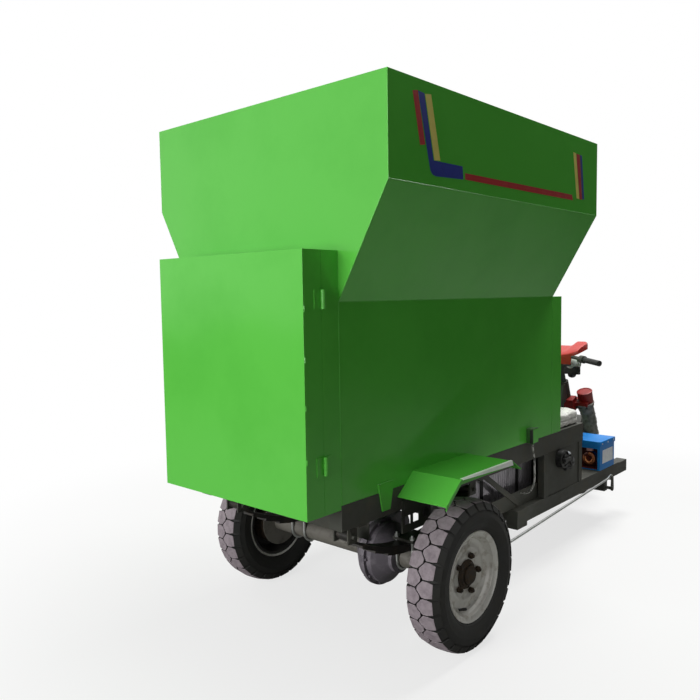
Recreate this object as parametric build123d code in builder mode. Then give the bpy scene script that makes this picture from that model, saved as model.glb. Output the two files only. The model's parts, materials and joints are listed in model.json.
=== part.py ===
# Electric three-wheeled feed cart: hopper, auger drive, sprung rear axle and steered front wheel.
# Millimetres. +X is forward, +Y is left, +Z is up; the origin is on the ground under the middle.
import os
from math import atan2, cos, degrees, pi, radians, sin, tan

from build123d import *

os.makedirs("parts", exist_ok=True)

# Hopper and body, the driving sizes
hopper_length = 1556.0
hopper_width = 1200.0
hopper_top = 2018.0
hopper_kink = 1689.0
hopper_neck = 1315.0
hopper_hem = 25.0
body_width = 771.0
body_bottom = 632.0
front_cover_depth = 99.0
sheet = 3.0
foot_width = 90.0
foot_rise = 33.0
foot_drop = 70.0
foot_thickness = 5.0

# Rear drive compartment and its door
housing_depth = 80.0
door_depth = 82.0
door_bottom = 617.0
door_top = 1482.0
door_gap = 0.8
hinge_height = 62.0
hinge_leaf = 34.0
hinge_leaf_thickness = 2.5
hinge_barrel_radius = 8.0
hinge_pin_radius = 4.5
lower_hinge = 784.0
upper_hinge = 1324.0

# Auger, trough and chain drive
auger_axis = 805.0
auger_shaft_radius = 30.0
auger_radius = 135.0
auger_pitch = 220.0
flight_thickness = 6.0
trough_radius = 150.0
trough_shoulder = 1000.0
bearing_size = 110.0
bearing_thickness = 16.0
chain_plane = 128.0
chain_width = 12.0
chain_height = 14.0
chain_pitch = 19.05
auger_teeth = 30
motor_teeth = 15
gearbox_size = 140.0
gearbox_depth = 100.0
gearmotor_radius = 62.0
gearmotor_length = 190.0
gearmotor_side = 190.0
gearmotor_height = 1070.0
output_shaft_radius = 14.0
bearing_bolt = 6.0

# Discharge outlet on the left side
outlet_width = 240.0
outlet_height = 190.0
outlet_sill = 705.0
outlet_front_margin = 40.0
gate_thickness = 4.0
gate_travel = 180.0
gate_overlap = 15.0
guide_bar = 10.0
chute_reach = 190.0
chute_drop = 60.0
gate_handle_width = 90.0
gate_handle_out = 34.0
gate_handle_radius = 7.0
handle_post_radius = 5.0

# Rear axle, springs and wheels
rear_axle_setback = 505.0
rear_tyre_diameter = 568.0
rear_tyre_width = 145.0
rear_wheel_side = 535.0
rim_seat_radius = 152.0
rim_flange_radius = 169.0
rim_half_width = 50.0
rim_wall = 4.0
rim_disc_offset = 14.0
rim_disc_thickness = 5.0
stud_circle = 140.0
stud_count = 5
stud_radius = 6.0
hub_bore_radius = 20.0
hub_cap_radius = 36.0
drum_radius = 106.0
drum_depth = 68.0
axle_tube_radius = 42.0
diff_side = -155.0
diff_radius = 138.0
diff_width = 188.0
drive_motor_radius = 92.0
drive_motor_length = 210.0
drive_motor_ahead = 155.0
drive_motor_raise = 50.0
spring_side = 300.0
spring_span = 800.0
spring_camber = 110.0
spring_width = 60.0
leaf_thickness = 8.0
leaf_count = 4
spring_eye_radius = 17.0
spring_bolt_radius = 8.0
u_bolt_radius = 6.0
tread_grooves = 28
tread_depth = 12.0
tyre_wall = 12.0
tread_thickness = 22.0
tread_crown = 4.0
groove_width = 9.0
groove_slant = 28.0
rim_drop = 16.0
hub_flange = 12.0
hub_cap_length = 30.0
nut_height = 14.0
nut_radius = 11.5
drum_wall = 7.0
brake_plate = 4.0
spring_pad_half = 35.0
arm_boss_radius = 12.0
arm_thickness = 6.0
eye_thickness = 6.0
link_pin_radius = 5.0
diff_flange = 16.0
diff_bolts = 10
diff_bolt_radius = 6.0
gear_arm = 60.0
hanger_plate = 6.0
hanger_half = 24.0
clamp_plate = 10.0

# Chassis
rail_width = 60.0
rail_wall = 4.0
upper_rail_height = 92.0
upper_rail_length = 1930.0
lower_rail_height = 68.0
lower_rail_bottom = 252.0
lower_rail_start = 1210.0
lower_rail_end = 2565.0
post_size = 40.0
post_depth = 35.0
cross_bar = 40.0
deck_thickness = 4.0
deck_end = 2440.0
foot_mat_margin = 20.0
fender_top = 674.0
fender_edge = 597.0
fender_flat = 370.0
fender_slope = 95.0
fender_front_slope = 75.0
fender_front_edge = 628.0
fender_lip = 18.0
tray_start = 900.0
tray_lip = 70.0
battery_length = 330.0
battery_width = 172.0
battery_height = 215.0
battery_gap = 4.0
lug_half = 20.0
rail_bracket = (95.0, 20.0)
brace_top_ahead = 935.0
brace_foot_ahead = 1282.0
brace_width = 50.0
brace_thickness = 6.0
middle_post_ahead = 1477.5
slot_half = 16.0
terminal_radius = 8.0
controller_length = 170.0
controller_width = 220.0
controller_height = 76.0
fin_pitch = 20.0

# Driver's place
seat_depth = 270.0
seat_edge = 4.0
seat_thickness = 78.0
seat_pull = 7.0
charger_length = 205.0
charger_width = 260.0
charger_height = 166.0
charger_start = 2162.0
switch_radius = 46.0
switch_depth = 28.0
switch_ahead = 1654.0
switch_height = 491.0
wire_radius = 4.5
wire_ahead = 1319.5
clip_size = (52.0, 34.0, 66.0)
panel_gap = 2.0
knob_shaft_radius = 8.0
socket_radius = 11.0
lid_height = 27.0
lid_lip = 4.0
window_frame = 16.0
window_sill = 6.0
window_depth = 70.0
coil_radius = 34.0
coil_side = 71.5
coil_rise = 61.0

# Front wheel, fork and handlebar
front_axle_setback = 2751.0
front_tyre_diameter = 500.0
front_tyre_width = 105.0
front_rim_half_width = 36.0
rake = 21.6
stem_setback = 34.0
leg_side = 115.0
leg_radius = 18.0
slider_radius = 25.0
slider_top = 300.0
fork_bridge = 400.0
fork_bridge_height = 40.0
fork_travel = 40.0
cup_drop = 3.0
shroud_length = 102.0
sleeve_radius = 40.0
stem_radius = 20.0
head_tube_radius = 33.0
head_tube_length = 122.0
stem_top = 772.0
bar_sweep = 31.0
bar_drop = 3.9
bar_reach = 409.0
bar_radius = 11.0
grip_length = 140.0
grip_radius = 16.5
cowl_half_width = 145.0
cowl_back = 87.0
cowl_front = 101.0
cowl_skirt = 50.0
cowl_rise = 73.0
cowl_lip = 43.0
headlamp_radius = 48.0
headlamp_depth = 70.0
lamp_arm = 139.0
lamp_rise = 106.0
horn_radius = 24.0
horn_depth = 40.0
bridge_depth = 44.0
cover_height = 10.0
skirt_drop = 45.0
neck_half = 25.0
leg_bottom = 180.0
clamp_height = 36.0
clamp_depth = 56.0
lamp_arm_radius = 10.0
cup_edge = 8.0
cover_depth = 98.0
skirt = 5.0
sleeve_bottom = 165.0
front_axle_radius = 10.0
slider_bore_end = 60.0
slider_foot = -18.0
axle_nut = 12.0
barrel_radius = 32.0
guard_start = 55.0
guard_sweep = 120.0
stay_thickness = 4.0
stay_radius = 9.0
stay_pin_radius = 7.0
stay_along = 60.0
grip_wall_end = 5.0
throttle_body = 34.0
cowl_wall = 4.0
bezel = 6.0
lens_recess = 14.0

# Foot brake
pedal_pivot_ahead = 2250.0
pedal_pivot_height = 213.0
pedal_shaft_radius = 9.0
pedal_side = -90.0
pedal_reach = 115.0
pedal_rise = 190.0
crank_length = 64.0
rod_side = -415.0
rod_radius = 6.0
brake_arm_ahead = 620.0
brake_arm_height = 193.0
crank_thickness = 8.0
pedal_half = 6.0
pad_radius = 14.0
pad_half = 30.0
arm_half_width = 10.0
eye_play = 4.0
eye_tongue = 38.0
eye_radius = 16.0
pedal_stroke = 21.0

# Clearances
shaft_gap = 0.05
running_gap = 0.6
seat_gap = 0.3

# Places worked out from the driving sizes
half_body = body_width / 2
half_hopper = hopper_width / 2
rear_axle_z = rear_tyre_diameter / 2
front_axle_z = front_tyre_diameter / 2
front_reach = front_axle_setback + front_axle_z
hopper_x = housing_depth + door_depth - (front_reach + housing_depth + door_depth) / 2
front_wall_x = hopper_x + hopper_length
front_cover_x = front_wall_x + front_cover_depth
housing_x = hopper_x - housing_depth
door_x = housing_x - door_depth
rear_axle_x = hopper_x + rear_axle_setback
front_axle_x = hopper_x + front_axle_setback
rail_inner = half_body - rail_width
upper_rail_bottom = body_bottom - upper_rail_height
lower_rail_top = lower_rail_bottom + lower_rail_height
deck_top = lower_rail_top + deck_thickness
rail_front_x = hopper_x + upper_rail_length
post_inner = half_body - post_depth
rake_sin = sin(radians(rake))
rake_cos = cos(radians(rake))


def finish(builder, name):
    """Label a finished piece and write its STEP file."""
    builder.part.label = name
    export_step(builder.part, f"parts/{name}.step")


def block(x, y, z, mode=Mode.ADD):
    """Add a box that spans three (low, high) pairs to the open part."""
    with Locations(((x[0] + x[1]) / 2, (y[0] + y[1]) / 2, (z[0] + z[1]) / 2)):
        Box(x[1] - x[0], y[1] - y[0], z[1] - z[0], mode=mode)


def rod(start, end, radius, mode=Mode.ADD):
    """Add a round bar between two points to the open part."""
    along = Vector(*end) - Vector(*start)
    with Locations(Plane(origin=start, z_dir=along)):
        Cylinder(radius, along.length, align=(Align.CENTER, Align.CENTER, Align.MIN), mode=mode)


def span(side, near, far):
    """Return a (low, high) pair between two distances from the middle, on one side."""
    return tuple(sorted((side * near, side * far)))


def fork_point(along, ahead=0.0, left=0.0):
    """Return a point measured from the front axle along the fork legs, ahead of them and left."""
    x = front_axle_x - along * rake_sin + ahead * rake_cos
    z = front_axle_z + along * rake_cos + ahead * rake_sin
    return (x, left, z)


def stem_point(along, ahead=0.0):
    """Return a point on or ahead of the steering axis, which stands behind the fork legs."""
    return fork_point(along, ahead - stem_setback)


def fork_plane(along, ahead=0.0, left=0.0):
    """Return a plane square to the steering axis, its X ahead and its Y to the left."""
    return Plane(
        origin=fork_point(along, ahead, left),
        x_dir=(rake_cos, 0, rake_sin),
        z_dir=(-rake_sin, 0, rake_cos),
    )


# Hopper and lower body sheets
end_outline = [
    (-half_hopper, hopper_top),
    (-half_hopper, hopper_kink),
    (-half_body, hopper_neck),
    (-half_body, body_bottom),
    (half_body, body_bottom),
    (half_body, hopper_neck),
    (half_hopper, hopper_kink),
    (half_hopper, hopper_top),
]
slope_angle = atan2(half_hopper - half_body, hopper_kink - hopper_neck)
shaft_hole_radius = auger_shaft_radius + 3 * sheet / 2
wall_span = (hopper_x + sheet, front_wall_x - sheet)


def end_wall(name, start):
    """Make one end wall of the hopper, with the hole that the auger shaft passes through."""
    with BuildPart() as wall:
        with BuildSketch(Plane.YZ.offset(start)):
            with BuildLine():
                Polyline(*end_outline, close=True)
            make_face()
            with Locations((0, auger_axis)):
                Circle(shaft_hole_radius, mode=Mode.SUBTRACT)
        extrude(amount=sheet)
    finish(wall, name)


end_wall("hopper_rear_wall", hopper_x)
end_wall("hopper_front_wall", front_wall_x - sheet)


def hopper_side(name, side):
    """Make one folded hopper side: hem, upright wall and slope."""
    fold = sheet * tan(slope_angle / 2)
    profile = [
        (side * half_hopper, hopper_top),
        (side * (half_hopper - hopper_hem), hopper_top),
        (side * (half_hopper - hopper_hem), hopper_top - sheet),
        (side * (half_hopper - sheet), hopper_top - sheet),
        (side * (half_hopper - sheet), hopper_kink + fold),
        (side * (half_body - sheet / cos(slope_angle)), hopper_neck),
        (side * half_body, hopper_neck),
        (side * half_hopper, hopper_kink),
    ]
    with BuildPart() as panel:
        with BuildSketch(Plane.YZ.offset(wall_span[0])):
            with BuildLine():
                Polyline(*profile, close=True)
            make_face()
        extrude(amount=wall_span[1] - wall_span[0])
    finish(panel, name)


hopper_side("hopper_right_side", -1)
hopper_side("hopper_left_side", 1)

outlet_end = front_wall_x - outlet_front_margin
outlet_start = outlet_end - outlet_width
outlet_top = outlet_sill + outlet_height
foot_start = hopper_x + 190.0


def body_side(name, side, outlet, feet, clips):
    """Make one lower body wall with its tapered feet, its wire clips, and the outlet window if it has one."""
    with BuildPart() as panel:
        block(wall_span, span(side, half_body - sheet, half_body), (body_bottom, hopper_neck))
        if outlet:
            window = span(side, half_body - 2 * sheet, half_body + sheet)
            block((outlet_start, outlet_end), window, (outlet_sill, outlet_top), Mode.SUBTRACT)
        for foot_x in feet:
            with BuildSketch(Plane.XZ.offset(-side * half_body)):
                with BuildLine():
                    Polyline(
                        (foot_x - foot_width / 2, body_bottom + foot_rise),
                        (foot_x - foot_width / 4, body_bottom - foot_drop),
                        (foot_x + foot_width / 4, body_bottom - foot_drop),
                        (foot_x + foot_width / 2, body_bottom + foot_rise),
                        close=True,
                    )
                make_face()
            extrude(amount=-side * foot_thickness)
        for clip_x in clips:
            clip_span = (clip_x - clip_size[0] / 2, clip_x + clip_size[0] / 2)
            clip_out = span(side, half_body, half_body + clip_size[1])
            block(clip_span, clip_out, (body_bottom, body_bottom + clip_size[2]))
    finish(panel, name)


rear_foot = foot_start + foot_width / 2
body_side("body_right_side", -1, False, (rear_foot,), (hopper_x + wire_ahead,))
body_side("body_left_side", 1, True, (rear_foot, wall_span[1] - 4 * foot_width), ())

trough_inside = half_body - sheet
trough_slope = (trough_shoulder - auger_axis) / (trough_inside - trough_radius)
trough_lift = sheet * (1 + trough_slope**2) ** 0.5
trough_outer = trough_radius + sheet
with BuildPart() as trough:
    with BuildSketch(Plane.YZ.offset(wall_span[0])):
        with BuildLine():
            Polyline(
                (-trough_outer, auger_axis),
                (-trough_inside, trough_shoulder),
                (-trough_inside, trough_shoulder + trough_lift),
                (-trough_radius, auger_axis),
            )
            RadiusArc((-trough_radius, auger_axis), (0, auger_axis - trough_radius), -trough_radius)
            RadiusArc((0, auger_axis - trough_radius), (trough_radius, auger_axis), -trough_radius)
            Polyline(
                (trough_radius, auger_axis),
                (trough_inside, trough_shoulder + trough_lift),
                (trough_inside, trough_shoulder),
                (trough_outer, auger_axis),
            )
            RadiusArc((trough_outer, auger_axis), (0, auger_axis - trough_outer), trough_outer)
            RadiusArc((0, auger_axis - trough_outer), (-trough_outer, auger_axis), trough_outer)
        make_face()
    extrude(amount=wall_span[1] - wall_span[0])
    outlet_cut = (trough_radius / 2, half_body)
    block((outlet_start, outlet_end), outlet_cut, (body_bottom, outlet_top), Mode.SUBTRACT)
finish(trough, "trough")

with BuildPart() as front_cover:
    block((front_wall_x, front_cover_x), (-half_body, half_body), (body_bottom, hopper_neck))
    inside_width = half_body - sheet
    block(
        (front_wall_x, front_cover_x - sheet),
        (-inside_width, inside_width),
        (body_bottom + sheet, hopper_neck - sheet),
        Mode.SUBTRACT,
    )
finish(front_cover, "front_cover")

# Rear drive compartment, its door and hinges
with BuildPart() as rear_housing:
    block((housing_x, hopper_x), (-half_body, half_body), (door_bottom, door_top))
    block(
        (housing_x, hopper_x),
        (-half_body + sheet, half_body - sheet),
        (door_bottom + sheet, door_top - sheet),
        Mode.SUBTRACT,
    )
finish(rear_housing, "rear_housing")

hinge_x = housing_x - door_gap / 2
hinge_y = -(half_body + hinge_barrel_radius + seat_gap)
knuckle = hinge_height / 3
leaf_clear = hinge_barrel_radius + 2 * running_gap
leaf_face = (-half_body - hinge_leaf_thickness, -half_body)


def hinge_leaf_plate(middle, way, knuckles):
    """Add a hinge leaf that reaches one way along X, with its knuckles at the given heights."""
    near = hinge_x + way * leaf_clear
    far = hinge_x + way * hinge_leaf
    block(tuple(sorted((near, far))), leaf_face, (middle - hinge_height / 2, middle + hinge_height / 2))
    for low, high in knuckles:
        block(tuple(sorted((hinge_x, near))), leaf_face, (low, high))
        rod((hinge_x, hinge_y, low), (hinge_x, hinge_y, high), hinge_barrel_radius)


with BuildPart() as hinge_barrels:
    for middle in (lower_hinge, upper_hinge):
        bottom = middle - hinge_height / 2
        top = middle + hinge_height / 2
        hinge_leaf_plate(middle, 1, ((bottom, bottom + knuckle), (top - knuckle, top)))
        rod((hinge_x, hinge_y, bottom), (hinge_x, hinge_y, top), hinge_pin_radius)
finish(hinge_barrels, "hinge_barrels")

door_front_x = housing_x - door_gap
with BuildPart() as rear_door:
    block((door_x, door_front_x), (-half_body, half_body), (door_bottom, door_top))
    block(
        (door_x + sheet, door_front_x),
        (-half_body + sheet, half_body - sheet),
        (door_bottom + sheet, door_top - sheet),
        Mode.SUBTRACT,
    )
    for middle in (lower_hinge, upper_hinge):
        low = middle - knuckle / 2 + seat_gap
        high = middle + knuckle / 2 - seat_gap
        hinge_leaf_plate(middle, -1, ((low, high),))
        bore = hinge_pin_radius + shaft_gap
        rod((hinge_x, hinge_y, low), (hinge_x, hinge_y, high), bore, Mode.SUBTRACT)
finish(rear_door, "rear_door")

# Auger, its bearings and the chain drive
chain_x = hopper_x - chain_plane
sprocket_width = chain_width - 4.0
shaft_start = chain_x - chain_width
shaft_end = front_wall_x + 2.5 * bearing_thickness
flight_ends = (wall_span[0] + 5 * sheet, wall_span[1] - 5 * sheet)
flight_inner = auger_shaft_radius + seat_gap
with BuildPart() as auger_screw:
    rod((shaft_start, 0, auger_axis), (shaft_end, 0, auger_axis), auger_shaft_radius)
    with BuildLine() as flight_path:
        Helix(
            pitch=auger_pitch,
            height=flight_ends[1] - flight_ends[0],
            radius=(flight_inner + auger_radius) / 2,
            center=(flight_ends[0], 0, auger_axis),
            direction=(1, 0, 0),
        )
    flight_start = flight_path.line @ 0
    outward = flight_start - Vector(flight_ends[0], 0, auger_axis)
    with BuildSketch(Plane(origin=flight_start, x_dir=outward, z_dir=flight_path.line % 0)):
        Rectangle(auger_radius - flight_inner, flight_thickness)
    sweep(path=flight_path.line, is_frenet=True)
finish(auger_screw, "auger_screw")

bearing_collar = auger_shaft_radius + 14.0
with BuildPart() as auger_bearings:
    for wall, way in ((hopper_x, -1), (front_wall_x, 1)):
        face = wall + way * bearing_thickness
        flange = tuple(sorted((wall, face)))
        half = bearing_size / 2
        block(flange, (-half, half), (auger_axis - half, auger_axis + half))
        nose = (wall + way * 2 * bearing_thickness, 0, auger_axis)
        rod((wall, 0, auger_axis), nose, bearing_collar)
        rod((wall, 0, auger_axis), nose, auger_shaft_radius + shaft_gap, Mode.SUBTRACT)
        for dy in (-1, 1):
            for dz in (-1, 1):
                corner = (dy * (half - 2 * bearing_bolt), auger_axis + dz * (half - 2 * bearing_bolt))
                rod((face, *corner), (face + way * bearing_bolt, *corner), 1.6 * bearing_bolt)
finish(auger_bearings, "auger_bearings")

roller_radius = 0.31 * chain_pitch


def sprocket_pitch_radius(teeth):
    """Return the pitch radius of a chain sprocket."""
    return chain_pitch / (2 * sin(pi / teeth))


def sprocket_tip(teeth):
    """Return the tip radius of a chain sprocket."""
    return sprocket_pitch_radius(teeth) + 0.3 * chain_pitch


def sprocket(name, teeth, centre, bore, hub_end):
    """Make a toothed chain sprocket with its hub, bored for the shaft that it is keyed to."""
    with BuildPart() as wheel:
        with BuildSketch(Plane.YZ.offset(chain_x - sprocket_width / 2)):
            with Locations(centre):
                Circle(sprocket_tip(teeth))
                with PolarLocations(sprocket_pitch_radius(teeth), teeth):
                    Circle(roller_radius, mode=Mode.SUBTRACT)
        extrude(amount=sprocket_width)
        rod((chain_x, *centre), (hub_end, *centre), bore + 10.0)
        rod((shaft_start, *centre), (hub_end, *centre), bore + seat_gap, Mode.SUBTRACT)
    finish(wheel, name)


motor_centre = (gearmotor_side, gearmotor_height)
gearbox_face = hopper_x - gearbox_depth
sprocket("auger_sprocket", auger_teeth, (0, auger_axis), auger_shaft_radius, chain_x + 3 * chain_width)
sprocket("motor_sprocket", motor_teeth, motor_centre, output_shaft_radius, chain_x + 1.5 * chain_width)

with BuildPart() as auger_motor:
    half = gearbox_size / 2
    block(
        (gearbox_face, hopper_x),
        (gearmotor_side - half, gearmotor_side + half),
        (gearmotor_height - half, gearmotor_height + half),
    )
    fillet(auger_motor.edges().filter_by(Axis.X), gearbox_size / 10)
    motor_x = hopper_x - gearmotor_radius - sheet
    foot = (motor_x, gearmotor_side, gearmotor_height + half)
    top = (motor_x, gearmotor_side, gearmotor_height + half + gearmotor_length)
    rod(foot, top, gearmotor_radius)
    rod((gearbox_face, *motor_centre), (shaft_start, *motor_centre), output_shaft_radius)
finish(auger_motor, "auger_motor")

chain_inner = (sprocket_tip(auger_teeth) + running_gap, sprocket_tip(motor_teeth) + running_gap)
with BuildPart() as drive_chain:
    with BuildSketch(Plane.YZ.offset(chain_x - chain_width / 2)):
        with BuildSketch(mode=Mode.PRIVATE) as loop_inside:
            with Locations((0, auger_axis)):
                Circle(chain_inner[0])
            with Locations(motor_centre):
                Circle(chain_inner[1])
            make_hull()
        with Locations((0, auger_axis)):
            Circle(chain_inner[0] + chain_height)
        with Locations(motor_centre):
            Circle(chain_inner[1] + chain_height)
        make_hull()
        add(loop_inside.sketch, mode=Mode.SUBTRACT)
    extrude(amount=chain_width)
finish(drive_chain, "drive_chain")

# Discharge outlet, its chute and its sliding gate on the left side
gate_face = half_body + gate_thickness + 2 * running_gap
gate_height = outlet_height + 2 * gate_overlap
gate_bottom = outlet_sill - gate_overlap
guide_top = gate_bottom + gate_height + gate_travel
guide_inner = (outlet_start - gate_overlap, outlet_end + gate_overlap)
guide_back = gate_face + sheet
with BuildPart() as discharge_outlet:
    for edge, way in ((guide_inner[0] - running_gap, -1), (guide_inner[1] + running_gap, 1)):
        outside = tuple(sorted((edge, edge + way * guide_bar)))
        block(outside, (half_body, guide_back), (gate_bottom, guide_top))
        lip = tuple(sorted((edge - way * guide_bar, edge + way * guide_bar)))
        block(lip, (gate_face, guide_back), (gate_bottom, guide_top))
    sill_z = (gate_bottom - guide_bar, gate_bottom)
    sill_x = (guide_inner[0] - running_gap - guide_bar, guide_inner[1] + running_gap + guide_bar)
    block(sill_x, (half_body, guide_back), sill_z)
    with BuildSketch(Plane.YZ.offset(sill_x[0])):
        with BuildLine():
            Polyline(
                (guide_back, sill_z[1]),
                (guide_back + chute_reach, sill_z[1] - chute_drop),
                (guide_back + chute_reach, sill_z[1] - chute_drop - sheet),
                (guide_back, sill_z[1] - guide_bar),
                close=True,
            )
        make_face()
    extrude(amount=sill_x[1] - sill_x[0])
    for start in (sill_x[0], sill_x[1] - sheet):
        with BuildSketch(Plane.YZ.offset(start)):
            with BuildLine():
                Polyline(
                    (guide_back, sill_z[1] - sheet),
                    (guide_back + chute_reach, sill_z[1] - chute_drop - sheet),
                    (guide_back + chute_reach, sill_z[1] - chute_drop / 2),
                    (guide_back, outlet_top),
                    close=True,
                )
            make_face()
        extrude(amount=sheet)
finish(discharge_outlet, "discharge_outlet")

with BuildPart() as discharge_gate:
    gate_y = (half_body + running_gap, half_body + running_gap + gate_thickness)
    block(guide_inner, gate_y, (gate_bottom, gate_bottom + gate_height))
    grip_z = gate_bottom + gate_height - 2 * gate_overlap
    middle = (guide_inner[0] + guide_inner[1]) / 2
    for way in (-1, 1):
        post = middle + way * gate_handle_width / 2
        rod((post, gate_y[1], grip_z), (post, gate_y[1] + gate_handle_out, grip_z), handle_post_radius)
    handle_half = gate_handle_width / 2 + 2 * gate_handle_radius
    bar_y = gate_y[1] + gate_handle_out
    rod((middle - handle_half, bar_y, grip_z), (middle + handle_half, bar_y, grip_z), gate_handle_radius)
finish(discharge_gate, "discharge_gate")

# Tyres, rims and hubs


def axle_section(x, y, z, side):
    """Return a plane through a wheel's axis: its X is the radius and its Y points outboard."""
    return Plane(origin=(x, y, z), x_dir=(1, 0, 0), z_dir=(0, 0, side))


def wheel_face(x, y, z, side):
    """Return a plane square to a wheel's axis that looks outboard."""
    return Plane(origin=(x, y, z), x_dir=(1, 0, 0), z_dir=(0, side, 0))


def tyre(name, centre, side, diameter, width, rim_half, grooves):
    """Make a hollow tyre with two rows of slanted tread grooves."""
    outer = diameter / 2
    bead = rim_seat_radius + seat_gap
    bead_half = rim_half - rim_wall - seat_gap
    foot = rim_flange_radius + 1.0
    shoulder = outer - tread_depth
    tread_half = 0.42 * width
    belly = (foot + shoulder) / 2
    crown = outer - tread_thickness
    crown_half = tread_half - tyre_wall
    with BuildPart() as carcass:
        with BuildSketch(axle_section(*centre, side)):
            with BuildLine():
                Line((bead, bead_half), (foot, bead_half))
                ThreePointArc((foot, bead_half), (belly, width / 2), (shoulder, tread_half))
                Line((shoulder, tread_half), (outer - tread_crown, tread_half - tread_crown))
                ThreePointArc(
                    (outer - tread_crown, tread_half - tread_crown),
                    (outer, 0),
                    (outer - tread_crown, tread_crown - tread_half),
                )
                Line((outer - tread_crown, tread_crown - tread_half), (shoulder, -tread_half))
                ThreePointArc((shoulder, -tread_half), (belly, -width / 2), (foot, -bead_half))
                Polyline(
                    (foot, -bead_half),
                    (bead, -bead_half),
                    (bead, tyre_wall - bead_half),
                    (foot, tyre_wall - bead_half),
                )
                ThreePointArc(
                    (foot, tyre_wall - bead_half),
                    (belly, tyre_wall - width / 2),
                    (crown - tread_crown, -crown_half),
                )
                shoulder = crown - tread_crown
                ThreePointArc((shoulder, -crown_half), (crown, 0), (shoulder, crown_half))
                ThreePointArc(
                    (crown - tread_crown, crown_half),
                    (belly, width / 2 - tyre_wall),
                    (foot, bead_half - tyre_wall),
                )
                Polyline((foot, bead_half - tyre_wall), (bead, bead_half - tyre_wall), (bead, bead_half))
            make_face()
        revolve(axis=Axis(centre, (0, 1, 0)))
        reach = width / 2
        for row in (-1, 1):
            turn = 90.0 / grooves * (1 + row)
            with Locations(wheel_face(*centre, side)):
                with PolarLocations(outer, grooves, start_angle=turn):
                    with Locations(Location((0, 0, row * reach / 2), (row * groove_slant, 0, 0))):
                        Box(tread_depth, groove_width, reach, mode=Mode.SUBTRACT)
    finish(carcass, name)


def rim(name, centre, side, half_width, disc_at, hole_radius, barrel):
    """Make a stepped steel rim with a disc that has either stud holes or a hub barrel on it."""
    seat = rim_seat_radius
    inside = seat - rim_wall
    floor = seat - rim_drop
    edge = half_width - rim_wall
    step = 0.45 * half_width
    outside = [
        (rim_flange_radius, half_width),
        (rim_flange_radius, edge),
        (seat, edge),
        (seat, step + rim_wall),
        (floor, step - rim_wall),
    ]
    lining = [
        (floor - rim_wall, step),
        (inside, step + 2 * rim_wall),
        (inside, half_width),
    ]
    mirrored_outside = [(r, -a) for r, a in reversed(outside)]
    mirrored_lining = [(r, -a) for r, a in reversed(lining)]
    with BuildPart() as wheel:
        with BuildSketch(axle_section(*centre, side)):
            with BuildLine():
                Polyline(*outside, *mirrored_outside, *mirrored_lining, *lining, close=True)
            make_face()
            with Locations(((hole_radius + floor) / 2 - rim_wall / 2, disc_at + rim_disc_thickness / 2)):
                Rectangle(floor - hole_radius - rim_wall / 2, rim_disc_thickness)
        revolve(axis=Axis(centre, (0, 1, 0)))
        with Locations(wheel_face(*centre, side)):
            if barrel:
                Cylinder(barrel[0], 2 * barrel[1])
                Cylinder(hole_radius, 2 * barrel[1], mode=Mode.SUBTRACT)
            else:
                with PolarLocations(stud_circle / 2, stud_count):
                    Cylinder(stud_radius + 1.0, 4 * half_width, mode=Mode.SUBTRACT)
    finish(wheel, name)


hub_flange_radius = stud_circle / 2 + 2.5 * stud_radius
drum_inner_face = rim_disc_offset - hub_flange
drum_open_face = drum_inner_face - drum_depth
spindle_end = rim_disc_offset + hub_cap_length / 3
hub_bore = hub_bore_radius + shaft_gap


def hub(name, centre, side):
    """Make a hub with its brake drum, cap, studs and wheel nuts."""
    with BuildPart() as wheel:
        with BuildSketch(axle_section(*centre, side)):
            with BuildLine():
                Polyline(
                    (0, rim_disc_offset + hub_cap_length),
                    (hub_cap_radius - drum_wall, rim_disc_offset + hub_cap_length),
                    (hub_cap_radius, rim_disc_offset + hub_cap_length - drum_wall),
                    (hub_cap_radius, rim_disc_offset),
                    (hub_flange_radius, rim_disc_offset),
                    (hub_flange_radius, drum_inner_face),
                    (drum_radius, drum_inner_face),
                    (drum_radius, drum_open_face),
                    (drum_radius - drum_wall, drum_open_face),
                    (drum_radius - drum_wall, drum_inner_face - drum_wall),
                    (hub_cap_radius, drum_inner_face - drum_wall),
                    (hub_cap_radius, drum_open_face + drum_wall),
                    (hub_bore, drum_open_face + drum_wall),
                    (hub_bore, spindle_end + running_gap),
                    (0, spindle_end + running_gap),
                    close=True,
                )
            make_face()
        revolve(axis=Axis(centre, (0, 1, 0)))
        stud_length = rim_disc_thickness + 1.4 * nut_height
        with Locations(wheel_face(*centre, side).offset(rim_disc_offset)):
            with PolarLocations(stud_circle / 2, stud_count):
                Cylinder(stud_radius, stud_length, align=(Align.CENTER, Align.CENTER, Align.MIN))
        with BuildSketch(wheel_face(*centre, side).offset(rim_disc_offset + rim_disc_thickness)):
            with PolarLocations(stud_circle / 2, stud_count):
                RegularPolygon(nut_radius, 6)
                Circle(stud_radius + seat_gap / 2, mode=Mode.SUBTRACT)
        extrude(amount=nut_height)
    finish(wheel, name)


for label, side in (("left", 1), ("right", -1)):
    centre = (rear_axle_x, side * rear_wheel_side, rear_axle_z)
    tyre(f"tyre_{label}", centre, side, rear_tyre_diameter, rear_tyre_width, rim_half_width, tread_grooves)
    rim(f"rim_{label}", centre, side, rim_half_width, rim_disc_offset, hub_cap_radius + 1.0, None)
    hub(f"hub_{label}", centre, side)

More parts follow.
